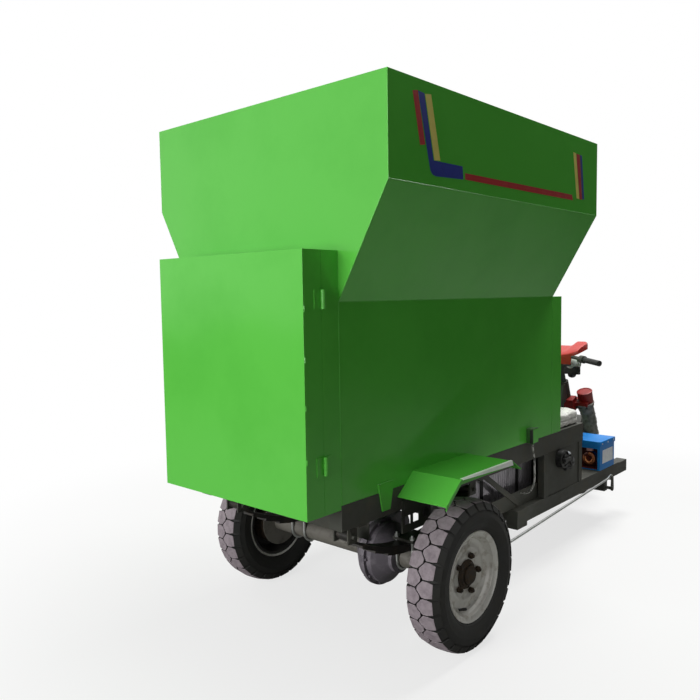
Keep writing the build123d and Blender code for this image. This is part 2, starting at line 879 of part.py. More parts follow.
# Rear axle: tubes with spindles and brake plates, differential and drive motor
brake_plate_radius = drum_radius + 4.0
brake_plate_face = rear_wheel_side + drum_open_face - 2.0
spring_pad_top = rear_axle_z + axle_tube_radius + 8.0
diff_left = diff_side + diff_width / 2
diff_right = diff_side - diff_width / 2
arm_side = rod_side - 14.0
brake_arm = (hopper_x + brake_arm_ahead, brake_arm_height)
brake_cam = (rear_axle_x + 0.8 * brake_plate_radius, rear_axle_z - 2 * arm_boss_radius)
with BuildPart() as axle_housing:
    for side, inner in ((1, diff_left), (-1, diff_right)):
        plate_inner = side * (brake_plate_face - brake_plate)
        rod((rear_axle_x, inner, rear_axle_z), (rear_axle_x, plate_inner, rear_axle_z), axle_tube_radius)
        plate_outer = (rear_axle_x, side * brake_plate_face, rear_axle_z)
        rod((rear_axle_x, plate_inner, rear_axle_z), plate_outer, brake_plate_radius)
        spindle = (rear_axle_x, side * (rear_wheel_side + spindle_end), rear_axle_z)
        rod((rear_axle_x, plate_inner, rear_axle_z), spindle, hub_bore_radius)
        block(
            (rear_axle_x - spring_pad_half, rear_axle_x + spring_pad_half),
            span(side, spring_side - spring_pad_half, spring_side + spring_pad_half),
            (rear_axle_z + axle_tube_radius / 2, spring_pad_top),
        )
    cam_face = brake_plate - brake_plate_face
    rod((brake_cam[0], cam_face, brake_cam[1]), (brake_cam[0], arm_side, brake_cam[1]), arm_boss_radius)
    with BuildSketch(Plane.XZ.offset(-arm_side)):
        with Locations(brake_cam):
            Circle(arm_boss_radius)
        with Locations(brake_arm):
            Circle(2 * link_pin_radius)
        make_hull()
    extrude(amount=-arm_thickness)
    pin_end = rod_side + eye_thickness
    rod((brake_arm[0], arm_side, brake_arm[1]), (brake_arm[0], pin_end, brake_arm[1]), link_pin_radius)
finish(axle_housing, "axle_housing")

diff_shell = diff_radius - 14.0
diff_collar = axle_tube_radius + 18.0
motor_axis = (rear_axle_x + drive_motor_ahead, rear_axle_z + drive_motor_raise)
with BuildPart() as diff_housing:
    with BuildSketch(axle_section(rear_axle_x, 0, rear_axle_z, 1)):
        with BuildLine():
            Polyline(
                (0, diff_left),
                (diff_collar, diff_left),
                (diff_shell, diff_side + 2 * diff_flange),
                (diff_shell, diff_side + diff_flange / 2),
                (diff_radius, diff_side + diff_flange / 2),
                (diff_radius, diff_side - diff_flange / 2),
                (diff_shell, diff_side - diff_flange / 2),
                (diff_shell, diff_side - 2 * diff_flange),
                (diff_collar + 10, diff_right + diff_flange),
                (diff_collar + 10, diff_right),
                (0, diff_right),
                close=True,
            )
        make_face()
    revolve(axis=Axis((rear_axle_x, 0, rear_axle_z), (0, 1, 0)))
    with Locations(wheel_face(rear_axle_x, diff_side, rear_axle_z, 1)):
        with PolarLocations(diff_radius - 1.5 * diff_bolt_radius, diff_bolts):
            Cylinder(diff_bolt_radius, 2 * diff_flange)
    with BuildSketch(Plane.XZ.offset(-diff_left)):
        with Locations((rear_axle_x, rear_axle_z)):
            Circle(diff_collar)
        with Locations(motor_axis):
            Circle(0.75 * drive_motor_radius)
        make_hull()
    extrude(amount=gear_arm)
    plug_foot = (rear_axle_x, diff_side + diff_flange, rear_axle_z - diff_shell)
    rod(plug_foot, (plug_foot[0], plug_foot[1], plug_foot[2] - 18.0), 11.0)
finish(diff_housing, "diff_housing")

with BuildPart() as drive_motor:
    bell = 0.12 * drive_motor_length
    motor_end = diff_left + drive_motor_length
    motor_back = (motor_axis[0], diff_left, motor_axis[1])
    motor_front = (motor_axis[0], motor_end, motor_axis[1])
    rod(motor_back, motor_front, drive_motor_radius)
    fillet(drive_motor.edges().filter_by(GeomType.CIRCLE).group_by(Axis.Y)[-1], bell)
    nose_end = motor_end + bell
    rod(motor_front, (motor_axis[0], nose_end, motor_axis[1]), drive_motor_radius / 2)
finish(drive_motor, "drive_motor")

# Leaf springs with their hangers, U-bolts and clamp plates
leaf_step = leaf_thickness + seat_gap
spring_top = spring_pad_top + leaf_count * leaf_step
spring_radius = ((spring_span / 2) ** 2 + spring_camber**2) / (2 * spring_camber)
spring_centre_z = spring_top + spring_radius
leaf_centre = (rear_axle_x, spring_centre_z)
spring_half_angle = degrees(atan2(spring_span / 2, spring_radius - spring_camber))
eye_distance = spring_radius + leaf_thickness - spring_eye_radius
eye_offset = eye_distance * sin(radians(spring_half_angle))
eye_z = spring_centre_z - eye_distance * cos(radians(spring_half_angle))
with BuildPart() as leaf_springs:
    for side in (-1, 1):
        middle = Plane.XZ.offset(-side * spring_side)
        for index in range(leaf_count):
            top_radius = spring_radius + index * leaf_step
            under_radius = top_radius + leaf_thickness
            half_angle = spring_half_angle * (1 - 0.75 * index / leaf_count)
            with BuildSketch(middle):
                with BuildLine():
                    upper = CenterArc(leaf_centre, top_radius, -90 - half_angle, 2 * half_angle)
                    lower = CenterArc(leaf_centre, under_radius, -90 - half_angle, 2 * half_angle)
                    Line(upper @ 0, lower @ 0)
                    Line(upper @ 1, lower @ 1)
                make_face()
                if index == 0:
                    with Locations((rear_axle_x - eye_offset, eye_z), (rear_axle_x + eye_offset, eye_z)):
                        Circle(spring_eye_radius)
                        Circle(spring_bolt_radius + shaft_gap, mode=Mode.SUBTRACT)
            extrude(amount=spring_width / 2, both=True)
finish(leaf_springs, "leaf_springs")

cheek_inner = spring_width / 2 + running_gap
clamp_rise = (spring_pad_half * 1.7) ** 2 / (2 * spring_radius) + seat_gap
clamp_half = 1.7 * spring_pad_half
clamp_bottom = spring_top + clamp_rise
bolt_bend = axle_tube_radius + seat_gap + u_bolt_radius
bolt_side = spring_width / 2 + u_bolt_radius + 2.0
bolt_top = clamp_bottom + clamp_plate + 3 * u_bolt_radius
with BuildPart() as spring_fittings:
    for side in (-1, 1):
        for end in (-1, 1):
            eye_x = rear_axle_x + end * eye_offset
            foot = (eye_x - hanger_half, eye_x + hanger_half)
            top_z = (upper_rail_bottom - hanger_plate, upper_rail_bottom)
            inner_edge = spring_side - cheek_inner - hanger_plate
            block(foot, span(side, inner_edge, half_body), top_z)
            for cheek in (inner_edge, spring_side + cheek_inner):
                block(foot, span(side, cheek, cheek + hanger_plate), (eye_z - hanger_half, top_z[0]))
            bolt = spring_width / 2 + 3 * hanger_plate
            start = (eye_x, side * (spring_side - bolt), eye_z)
            rod(start, (eye_x, side * (spring_side + bolt), eye_z), spring_bolt_radius)
        for row in (-1, 1):
            y = side * spring_side + row * bolt_side
            with BuildLine(Plane.XZ.offset(-y)) as bolt_path:
                Line((rear_axle_x - bolt_bend, bolt_top), (rear_axle_x - bolt_bend, rear_axle_z))
                CenterArc((rear_axle_x, rear_axle_z), bolt_bend, 180, 180)
                Line((rear_axle_x + bolt_bend, rear_axle_z), (rear_axle_x + bolt_bend, bolt_top))
            with BuildSketch(Plane.XY.offset(bolt_top)):
                with Locations((rear_axle_x - bolt_bend, y)):
                    Circle(u_bolt_radius)
            sweep(path=bolt_path.line)
            with BuildSketch(Plane.XY.offset(clamp_bottom + clamp_plate)):
                with Locations((rear_axle_x - bolt_bend, y), (rear_axle_x + bolt_bend, y)):
                    RegularPolygon(1.8 * u_bolt_radius, 6)
            extrude(amount=1.6 * u_bolt_radius)
finish(spring_fittings, "spring_fittings")

with BuildPart() as spring_clamps:
    for side in (-1, 1):
        with BuildSketch(Plane.XY.offset(clamp_bottom)):
            with Locations((rear_axle_x, side * spring_side)):
                Rectangle(2 * clamp_half, 2 * (bolt_side + 2 * u_bolt_radius))
                with GridLocations(2 * bolt_bend, 2 * bolt_side, 2, 2):
                    Circle(u_bolt_radius + seat_gap, mode=Mode.SUBTRACT)
        extrude(amount=clamp_plate)
finish(spring_clamps, "spring_clamps")

# Fenders over the rear wheels
fender_start = rear_axle_x - 200.0
fender_drop = fender_top - fender_edge
fender_thickness = sheet * (1 + (fender_drop / fender_slope) ** 2) ** 0.5


def fender_outline(thickness, bends):
    """Return the side outline of a fender of a slope, a flat and a slope, up to a number of bends."""
    upper = [
        (fender_start, fender_edge),
        (fender_start + fender_slope, fender_top),
        (fender_start + fender_slope + fender_flat, fender_top),
        (fender_start + fender_slope + fender_flat + fender_front_slope, fender_front_edge),
    ]
    upper = upper[:bends]
    return upper + [(x, z - thickness) for x, z in reversed(upper)]


for label, side in (("left", 1), ("right", -1)):
    with BuildPart() as fender:
        with BuildSketch(Plane.XZ.offset(-side * half_body)):
            with BuildLine():
                Polyline(*fender_outline(fender_thickness, 4), close=True)
            make_face()
        extrude(amount=-side * (half_hopper - half_body))
        with BuildSketch(Plane.XZ.offset(-side * (half_hopper - sheet))):
            with BuildLine():
                Polyline(*fender_outline(fender_lip, 3), close=True)
            make_face()
        extrude(amount=-side * sheet)
    finish(fender, f"fender_{label}")

# Chassis rails, posts and cross bars
lower_rail_x = (hopper_x + lower_rail_start, hopper_x + lower_rail_end)
pedal_pivot = (hopper_x + pedal_pivot_ahead, pedal_pivot_height)


def closed_tube(x, y, z):
    """Add a rectangular tube with capped ends to the open part."""
    block(x, y, z)
    inside = [(low + rail_wall, high - rail_wall) for low, high in (x, y, z)]
    block(*inside, Mode.SUBTRACT)


with BuildPart() as upper_rails:
    for side in (-1, 1):
        rail_y = span(side, rail_inner, half_body)
        closed_tube((hopper_x, rail_front_x), rail_y, (upper_rail_bottom, body_bottom))
finish(upper_rails, "upper_rails")

with BuildPart() as lower_rails:
    for side in (-1, 1):
        closed_tube(lower_rail_x, span(side, rail_inner, half_body), (lower_rail_bottom, lower_rail_top))
        block(
            (lower_rail_x[0], lower_rail_x[0] + rail_bracket[0]),
            span(side, rail_inner, half_body),
            (lower_rail_bottom - rail_bracket[1], lower_rail_bottom),
        )
    lug_y = (-half_body, -rail_inner)
    lug_z = (pedal_pivot_height - lug_half, lower_rail_bottom)
    block((pedal_pivot[0] - lug_half, pedal_pivot[0] + lug_half), lug_y, lug_z)
    lug_bore = pedal_shaft_radius + shaft_gap
    bore_start = (pedal_pivot[0], lug_y[0], pedal_pivot_height)
    rod(bore_start, (pedal_pivot[0], lug_y[1], pedal_pivot_height), lug_bore, Mode.SUBTRACT)
finish(lower_rails, "lower_rails")

middle_post = hopper_x + middle_post_ahead
front_post = rail_front_x - post_size - 10.0
front_bar = hopper_x + deck_end - 1.5 * cross_bar
tray_outer = post_inner - 5.0
brace_top = hopper_x + brace_top_ahead
brace_foot = hopper_x + brace_foot_ahead
post_z = (lower_rail_top, upper_rail_bottom)
with BuildPart() as frame_ties:
    for start in (middle_post, front_post):
        for side in (-1, 1):
            block((start, start + post_size), span(side, post_inner, half_body), post_z)
    for side in (-1, 1):
        with BuildSketch(Plane.XZ.offset(-side * (tray_outer + seat_gap))):
            with BuildLine():
                Polyline(
                    (brace_top, upper_rail_bottom),
                    (brace_top + brace_width, upper_rail_bottom),
                    (brace_foot + brace_width, lower_rail_top),
                    (brace_foot, lower_rail_top),
                    close=True,
                )
            make_face()
        extrude(amount=-side * brace_thickness)
    bar_y = (-rail_inner, rail_inner)
    upper_z = (body_bottom - 1.3 * cross_bar, body_bottom - 0.3 * cross_bar)
    for start in (hopper_x + cross_bar / 2, rear_axle_x + eye_offset, front_post - cross_bar):
        block((start, start + cross_bar), bar_y, upper_z)
    lower_z = (lower_rail_bottom + 0.3 * cross_bar, lower_rail_bottom + 1.3 * cross_bar)
    for start in (lower_rail_x[0], front_post, front_bar):
        block((start, start + cross_bar), bar_y, lower_z)
finish(frame_ties, "frame_ties")

deck_x = (front_post + post_size + 2 * sheet, hopper_x + deck_end)
neck_foot = (hopper_x + deck_end - 90.0, hopper_x + deck_end - 15.0)
slot_x = (pedal_pivot[0] + 42.0, pedal_pivot[0] + 152.0)
with BuildPart() as foot_platform:
    block(deck_x, (-half_body, half_body), (lower_rail_top, deck_top))
    slot_y = (pedal_side - slot_half, pedal_side + slot_half)
    block(slot_x, slot_y, (lower_rail_bottom, deck_top + deck_thickness), Mode.SUBTRACT)
    mat_x = (deck_x[0] + foot_mat_margin, neck_foot[0] - foot_mat_margin)
    mat_y = (pedal_side + slot_half + 2 * foot_mat_margin, half_body - foot_mat_margin)
    block(mat_x, mat_y, (deck_top, deck_top + sheet))
    tab_y = (pedal_side + slot_half + 2.0, pedal_side + slot_half + 14.0)
    tab_x = (pedal_pivot[0] - lug_half, pedal_pivot[0] + lug_half)
    block(tab_x, tab_y, (pedal_pivot_height - lug_half, lower_rail_top))
    tab_bore = (pedal_pivot[0], tab_y[0], pedal_pivot_height)
    rod(tab_bore, (pedal_pivot[0], tab_y[1], pedal_pivot_height), lug_bore, Mode.SUBTRACT)
finish(foot_platform, "foot_platform")

# Battery tray, batteries and the motor controller
tray_x = (hopper_x + tray_start, front_post - 2.0)
with BuildPart() as battery_tray:
    block(tray_x, (-tray_outer, tray_outer), (lower_rail_top, deck_top))
    for side in (-1, 1):
        block(tray_x, span(side, tray_outer - sheet, tray_outer), (deck_top, deck_top + tray_lip))
finish(battery_tray, "battery_tray")

battery_start = tray_x[0] + 20.0
with BuildPart() as batteries:
    for column in range(2):
        for row in (-1, 0, 1):
            x = battery_start + column * (battery_length + battery_gap)
            y = row * (battery_width + battery_gap)
            cell_y = (y - battery_width / 2, y + battery_width / 2)
            block((x, x + battery_length), cell_y, (deck_top, deck_top + battery_height))
            for way in (-1, 1):
                post = (x + battery_length / 2 + way * battery_length / 3, y + way * battery_width / 3)
                top = deck_top + battery_height
                rod((*post, top), (*post, top + terminal_radius), terminal_radius)
finish(batteries, "batteries")

controller_x = tray_x[1] - controller_length - 12.0
with BuildPart() as motor_controller:
    controller_y = (-controller_width / 2, controller_width / 2)
    controller_z = (deck_top, deck_top + controller_height)
    block((controller_x, controller_x + controller_length), controller_y, controller_z)
    fins = int(controller_width / fin_pitch)
    with Locations((controller_x + controller_length / 2, 0, deck_top + controller_height)):
        with GridLocations(controller_length, fin_pitch, 1, fins):
            Box(controller_length, fin_pitch / 2, controller_height / 2, mode=Mode.SUBTRACT)
finish(motor_controller, "motor_controller")

# Seat box, seat cushion, switch and charger
panel_face = half_body - 1.5 * sheet
with BuildPart() as seat_box:
    top_x = (front_cover_x + panel_gap, rail_front_x)
    block(top_x, (-half_body, half_body), (body_bottom, body_bottom + sheet))
    front_panel = (front_post + post_size, front_post + post_size + sheet)
    block(front_panel, (-rail_inner, rail_inner), (deck_top, body_bottom))
    for side in (-1, 1):
        panel_x = (middle_post + post_size, front_post)
        panel_z = (lower_rail_top, upper_rail_bottom)
        block(panel_x, span(side, panel_face - sheet, panel_face), panel_z)
finish(seat_box, "seat_box")

seat_bottom = body_bottom + sheet
seat_x = front_cover_x + 2 * panel_gap + seat_depth / 2
seat_half_width = half_body - seat_edge
cushion_levels = (
    (0.0, 10.0),
    (0.28 * seat_thickness, 0.0),
    (0.52 * seat_thickness, 6.0),
    (0.82 * seat_thickness, 40.0),
    (seat_thickness, 92.0),
)
with BuildPart() as seat_cushion:
    for rise, inset in cushion_levels:
        near = seat_depth / 2 - inset
        wide = seat_half_width - inset
        with BuildSketch(Plane.XY.offset(seat_bottom + rise)):
            with BuildLine():
                ThreePointArc((seat_x - near, -wide), (seat_x, seat_pull - wide), (seat_x + near, -wide))
                ThreePointArc((seat_x + near, -wide), (seat_x + near - seat_pull, 0), (seat_x + near, wide))
                ThreePointArc((seat_x + near, wide), (seat_x, wide - seat_pull), (seat_x - near, wide))
                ThreePointArc((seat_x - near, wide), (seat_x - near + seat_pull, 0), (seat_x - near, -wide))
            make_face()
    loft()
finish(seat_cushion, "seat_cushion")

switch_centre = (hopper_x + switch_ahead, switch_height)
switch_face = panel_face + switch_depth
with BuildPart() as power_switch:
    base = (switch_centre[0], -panel_face, switch_centre[1])
    face = (switch_centre[0], -switch_face, switch_centre[1])
    rod(base, face, switch_radius)
    bore = (switch_centre[0], -panel_face - switch_depth / 3, switch_centre[1])
    rod(bore, face, knob_shaft_radius + shaft_gap, Mode.SUBTRACT)
    for rise in (-1, 1):
        x = switch_centre[0] + 1.6 * switch_radius
        z = switch_centre[1] + rise * 1.4 * socket_radius
        rod((x, -panel_face, z), (x, -panel_face - switch_depth / 2, z), socket_radius)
finish(power_switch, "power_switch")

knob_radius = 0.55 * switch_radius
with BuildPart() as switch_knob:
    knob_back = switch_face + running_gap
    start = (switch_centre[0], -knob_back, switch_centre[1])
    rod(start, (switch_centre[0], -knob_back - switch_depth / 3, switch_centre[1]), knob_radius)
    block(
        (switch_centre[0] - 0.8 * switch_radius, switch_centre[0] + 0.8 * switch_radius),
        (-knob_back - 0.8 * switch_depth, -knob_back - switch_depth / 5),
        (switch_centre[1] - knob_shaft_radius, switch_centre[1] + knob_shaft_radius),
    )
    shaft_tip = (switch_centre[0], -panel_face - switch_depth / 2, switch_centre[1])
    rod(start, shaft_tip, knob_shaft_radius)
finish(switch_knob, "switch_knob")

charger_x = (hopper_x + charger_start, hopper_x + charger_start + charger_length)
charger_y = (-half_body, -half_body + charger_width)
charger_z = (deck_top, deck_top + charger_height)
with BuildPart() as charger_case:
    block(charger_x, charger_y, charger_z)
    lid = [(low - lid_lip, high + lid_lip) for low, high in (charger_x, charger_y)]
    block(*lid, (charger_z[1] - lid_height, charger_z[1]))
    block(
        (charger_x[0] + window_depth + sheet, charger_x[1] - sheet),
        (charger_y[0] + sheet, charger_y[1] - sheet),
        (charger_z[0] + sheet, charger_z[1] - sheet),
        Mode.SUBTRACT,
    )
    window_y = (charger_y[0] + window_frame, charger_y[1] - window_frame)
    window_z = (charger_z[0] + window_sill, charger_z[1] - lid_height - window_frame)
    block((charger_x[0], charger_x[0] + window_depth), window_y, window_z, Mode.SUBTRACT)
    coil_centre = (charger_y[0] + coil_side, charger_z[0] + coil_rise)
    coil_back = (charger_x[0] + window_depth, *coil_centre)
    coil_face = (charger_x[0] + window_depth / 3, *coil_centre)
    rod(coil_back, coil_face, coil_radius)
    rod((charger_x[0] + 0.9 * window_depth, *coil_centre), coil_face, 0.55 * coil_radius, Mode.SUBTRACT)
finish(charger_case, "charger_case")

# Wire that hangs from its clip on the body side to the battery tray
wire_x = hopper_x + wire_ahead
wire_end = deck_top + 0.8 * tray_lip
wire_points = [
    Vector(wire_x, -half_body - 19.0, body_bottom),
    Vector(wire_x, -half_body - 19.0, body_bottom - 28.0),
    Vector(wire_x + 12.0, -half_body - 21.0, body_bottom - 72.0),
    Vector(wire_x + 6.0, -half_body - 26.0, body_bottom - 132.0),
    Vector(wire_x + 4.0, -half_body - 28.0, wire_end + 60.0),
    Vector(wire_x - 6.0, -half_body - 6.0, wire_end),
    Vector(wire_x - 6.0, -tray_outer, wire_end),
]
wire_runs = [far - near for near, far in zip(wire_points, wire_points[1:])]
wire_radii = []
for before, after in zip(wire_runs, wire_runs[1:]):
    half_turn = radians(before.get_angle(after)) / 2
    wire_radii.append(0.45 * min(before.length, after.length) / tan(half_turn))
with BuildPart() as wire_harness:
    with BuildLine() as wire_path:
        FilletPolyline(*wire_points, radius=wire_radii)
    with BuildSketch(Plane(origin=wire_path.line @ 0, z_dir=wire_path.line % 0)):
        Circle(wire_radius)
    sweep(path=wire_path.line)
finish(wire_harness, "wire_harness")
print("wire radii", [round(radius, 1) for radius in wire_radii])
wire_length = wire_path.wires()[0].length
print("wire length", round(wire_length, 1), "volume", round(wire_harness.part.volume, 1))
print("wire section by length", round(pi * wire_radius**2 * wire_length, 1))

# Steering neck and fork
bridge_top = fork_bridge + fork_bridge_height
bridge_reach = leg_side + leg_radius + 10.0
head_start = bridge_top + cover_height + 7.0
head_end = head_start + head_tube_length
with BuildPart() as steering_neck:
    neck_outline = [
        (neck_foot[0], deck_top),
        (neck_foot[1], deck_top),
        stem_point(head_start + 7.0, -2.4 * head_tube_radius)[::2],
        stem_point(head_start + 7.0)[::2],
        stem_point(head_end - 7.0)[::2],
        stem_point(head_end - 7.0, -1.3 * head_tube_radius)[::2],
    ]
    with BuildSketch(Plane.XZ.offset(-neck_half)):
        with BuildLine():
            Polyline(*neck_outline, close=True)
        make_face()
    extrude(amount=2 * neck_half)
    rod(stem_point(head_start), stem_point(head_end), head_tube_radius)
    rod(stem_point(head_start), stem_point(head_end), stem_radius + shaft_gap, Mode.SUBTRACT)
finish(steering_neck, "steering_neck")

leg_top = bridge_top + 15.0
stem_end = stem_top - clamp_height / 2
lamp_along = head_end + lamp_rise
lamp_axis = stem_point(lamp_along)
lamp_x = lamp_axis[0] + lamp_arm
bridge_middle = -stem_setback / 2
bridge_span = bridge_depth + stem_setback
with BuildPart() as fork_tubes:
    with Locations(fork_plane(fork_bridge + fork_bridge_height / 2, bridge_middle)):
        Box(bridge_span, 2 * bridge_reach, fork_bridge_height)
    for side in (-1, 1):
        rod(fork_point(leg_bottom, 0, side * leg_side), fork_point(leg_top, 0, side * leg_side), leg_radius)
    rod(stem_point(fork_bridge), stem_point(stem_end), stem_radius)
    rod(lamp_axis, (lamp_x, 0, lamp_axis[2]), lamp_arm_radius)
finish(fork_tubes, "fork_tubes")


def leg_section(side):
    """Return the plane through one fork leg: its X ahead of the leg and its Y along it."""
    return Plane(origin=fork_point(0, 0, side * leg_side), x_dir=(rake_cos, 0, rake_sin), z_dir=(0, -1, 0))


def leg_axis(side):
    """Return the axis of one fork leg."""
    return Axis(fork_point(0, 0, side * leg_side), (-rake_sin, 0, rake_cos))


cup_bottom = fork_bridge - cup_drop
cup_top = cup_bottom + shroud_length
cup_radius = sleeve_radius + 1.5
cover_half = leg_side - cup_radius - 5.0
leg_bore = leg_radius + seat_gap
with BuildPart() as fork_shrouds:
    for side in (-1, 1):
        with BuildSketch(leg_section(side)):
            with BuildLine():
                Polyline(
                    (leg_bore, cup_bottom),
                    (cup_radius, cup_bottom),
                    (cup_radius - cup_edge, cup_top - cup_edge),
                    (cup_radius - 2 * cup_edge, cup_top),
                    (0, cup_top),
                    (0, leg_top + seat_gap),
                    (leg_bore, leg_top + seat_gap),
                    close=True,
                )
            make_face()
        revolve(axis=leg_axis(side))
    with BuildSketch(fork_plane(bridge_top + seat_gap, bridge_middle)):
        RectangleRounded(cover_depth, 2 * cover_half, cup_edge)
    extrude(amount=cover_height)
    skirt_low = fork_bridge - skirt_drop
    skirt_high = bridge_top + cover_height
    skirt_back = bridge_middle - (bridge_span + skirt) / 2 - seat_gap
    with Locations(fork_plane((skirt_low + skirt_high) / 2, skirt_back)):
        Box(skirt, 2 * cover_half, skirt_high - skirt_low)
    rod(stem_point(bridge_top), stem_point(head_start), stem_radius + seat_gap, Mode.SUBTRACT)
    with Locations(fork_plane(fork_bridge + fork_bridge_height / 2, bridge_middle)):
        Box(
            bridge_span + 2 * seat_gap,
            2 * bridge_reach + 2 * seat_gap,
            fork_bridge_height + 2 * seat_gap,
            mode=Mode.SUBTRACT,
        )
finish(fork_shrouds, "fork_shrouds")

sleeve_neck = slider_top + fork_travel + 30.0
sleeve_bore = slider_radius + 2.0
with BuildPart() as fork_sleeves:
    for side in (-1, 1):
        with BuildSketch(leg_section(side)):
            with BuildLine():
                Polyline(
                    (sleeve_bore, sleeve_bottom),
                    (sleeve_radius, sleeve_bottom),
                    (sleeve_radius, cup_bottom - seat_gap),
                    (leg_bore, cup_bottom - seat_gap),
                    (leg_bore, sleeve_neck),
                    (sleeve_bore, sleeve_neck),
                    close=True,
                )
            make_face()
        revolve(axis=leg_axis(side))
finish(fork_sleeves, "fork_sleeves")

front_centre = (front_axle_x, 0.0, front_axle_z)
barrel_half = front_tyre_width / 2 + 5.0
collar_end = leg_side - slider_radius - seat_gap
with BuildPart() as fork_sliders:
    for side in (-1, 1):
        leg = side * leg_side
        rod(fork_point(slider_foot, 0, leg), fork_point(slider_top, 0, leg), slider_radius)
        bore = leg_radius + shaft_gap
        rod(fork_point(slider_bore_end, 0, leg), fork_point(slider_top, 0, leg), bore, Mode.SUBTRACT)
    axle_end = leg_side + slider_radius + seat_gap + axle_nut
    axle_hole = front_axle_radius + seat_gap
    axle_ends = [(front_axle_x, side * axle_end, front_axle_z) for side in (-1, 1)]
    rod(*axle_ends, axle_hole, Mode.SUBTRACT)
    rod(*axle_ends, front_axle_radius)
    for side in (-1, 1):
        with BuildSketch(wheel_face(*front_centre, side).offset(axle_end - axle_nut)):
            RegularPolygon(1.6 * front_axle_radius, 6)
        extrude(amount=axle_nut)
        collar_start = (front_axle_x, side * (barrel_half + running_gap), front_axle_z)
        rod(collar_start, (front_axle_x, side * collar_end, front_axle_z), 1.5 * front_axle_radius)
finish(fork_sliders, "fork_sliders")

# Front wheel and its mudguard
front_bore = front_axle_radius + shaft_gap
front_barrel = (barrel_radius, barrel_half)
rim("front_rim", front_centre, 1, front_rim_half_width, -rim_disc_thickness / 2, front_bore, front_barrel)
front_tyre = (front_tyre_diameter, front_tyre_width)
tyre("front_tyre", front_centre, 1, *front_tyre, front_rim_half_width, tread_grooves)

guard_radius = front_axle_z + 20.0
guard_half = barrel_half + 0.5
with BuildPart() as front_mudguard:
    with BuildSketch(Plane.XZ.offset(-guard_half)):
        with BuildLine():
            inner = CenterArc((front_axle_x, front_axle_z), guard_radius, guard_start, guard_sweep)
            outer = CenterArc((front_axle_x, front_axle_z), guard_radius + sheet, guard_start, guard_sweep)
            Line(inner @ 0, outer @ 0)
            Line(inner @ 1, outer @ 1)
        make_face()
    extrude(amount=2 * guard_half)
    stay_foot = fork_point(stay_along)
    for side in (-1, 1):
        for turn in (guard_start + 8.0, guard_start + guard_sweep - 8.0):
            reach = guard_radius - stay_radius / 2
            tip = (front_axle_x + reach * cos(radians(turn)), front_axle_z + reach * sin(radians(turn)))
            with BuildSketch(Plane.XZ.offset(-side * guard_half)):
                with Locations(stay_foot[::2], tip):
                    Circle(stay_radius)
                make_hull()
            extrude(amount=-side * stay_thickness)
        pin_start = (stay_foot[0], side * guard_half, stay_foot[2])
        rod(pin_start, (stay_foot[0], side * collar_end, stay_foot[2]), stay_pin_radius)
finish(front_mudguard, "front_mudguard")

# Handlebar, grips, cowl and headlight
bar_centre = Vector(*stem_point(stem_top))
bar_back = sin(radians(bar_sweep)) * cos(radians(bar_drop))
bar_out = cos(radians(bar_sweep)) * cos(radians(bar_drop))
bar_down = sin(radians(bar_drop))


def bar_point(side, distance):
    """Return the point at a distance along one side of the handlebar."""
    return tuple(bar_centre + Vector(-bar_back, side * bar_out, -bar_down) * distance)


def grip(side, bore):
    """Add a hand grip with a closed end to the open part."""
    start = bar_point(side, bar_reach - grip_length)
    rod(start, bar_point(side, bar_reach), grip_radius)
    rod(start, bar_point(side, bar_reach - grip_wall_end), bore, Mode.SUBTRACT)


with BuildPart() as handlebar:
    grip(1, bar_radius + seat_gap)
    with Locations(fork_plane(stem_top, -stem_setback)):
        Box(clamp_depth, 1.25 * clamp_depth, clamp_height)
    for side in (-1, 1):
        rod(bar_point(side, 0), bar_point(side, bar_reach - grip_wall_end - running_gap), bar_radius)
    body_end = bar_reach - grip_length - running_gap
    rod(bar_point(-1, body_end - throttle_body), bar_point(-1, body_end), 1.35 * grip_radius)
finish(handlebar, "handlebar")

with BuildPart() as throttle_grip:
    grip(-1, bar_radius + shaft_gap)
finish(throttle_grip, "throttle_grip")

cowl_rear = bar_centre.X - cowl_back
cowl_nose = bar_centre.X + cowl_front
with BuildPart() as dash_cowl:
    with BuildSketch(Plane.XZ.offset(-cowl_half_width)):
        with BuildLine():
            Polyline(
                (cowl_rear, bar_centre.Z - cowl_skirt),
                (cowl_rear, bar_centre.Z),
                (cowl_nose, bar_centre.Z + cowl_rise),
                (cowl_nose, bar_centre.Z + cowl_rise - cowl_lip),
                close=True,
            )
        make_face()
    extrude(amount=2 * cowl_half_width)
    with BuildSketch(Plane.XZ.offset(cowl_wall - cowl_half_width)):
        with BuildLine():
            Polyline(
                (cowl_rear + cowl_wall, bar_centre.Z - 2 * cowl_skirt),
                (cowl_rear + cowl_wall, bar_centre.Z - cowl_wall),
                (cowl_nose - cowl_wall, bar_centre.Z + cowl_rise - 2 * cowl_wall),
                (cowl_nose - cowl_wall, bar_centre.Z - 2 * cowl_skirt),
                close=True,
            )
        make_face()
    extrude(amount=2 * (cowl_half_width - cowl_wall), mode=Mode.SUBTRACT)
    for side in (-1, 1):
        rod(bar_point(side, 0), bar_point(side, body_end), bar_radius + seat_gap, Mode.SUBTRACT)
finish(dash_cowl, "dash_cowl")

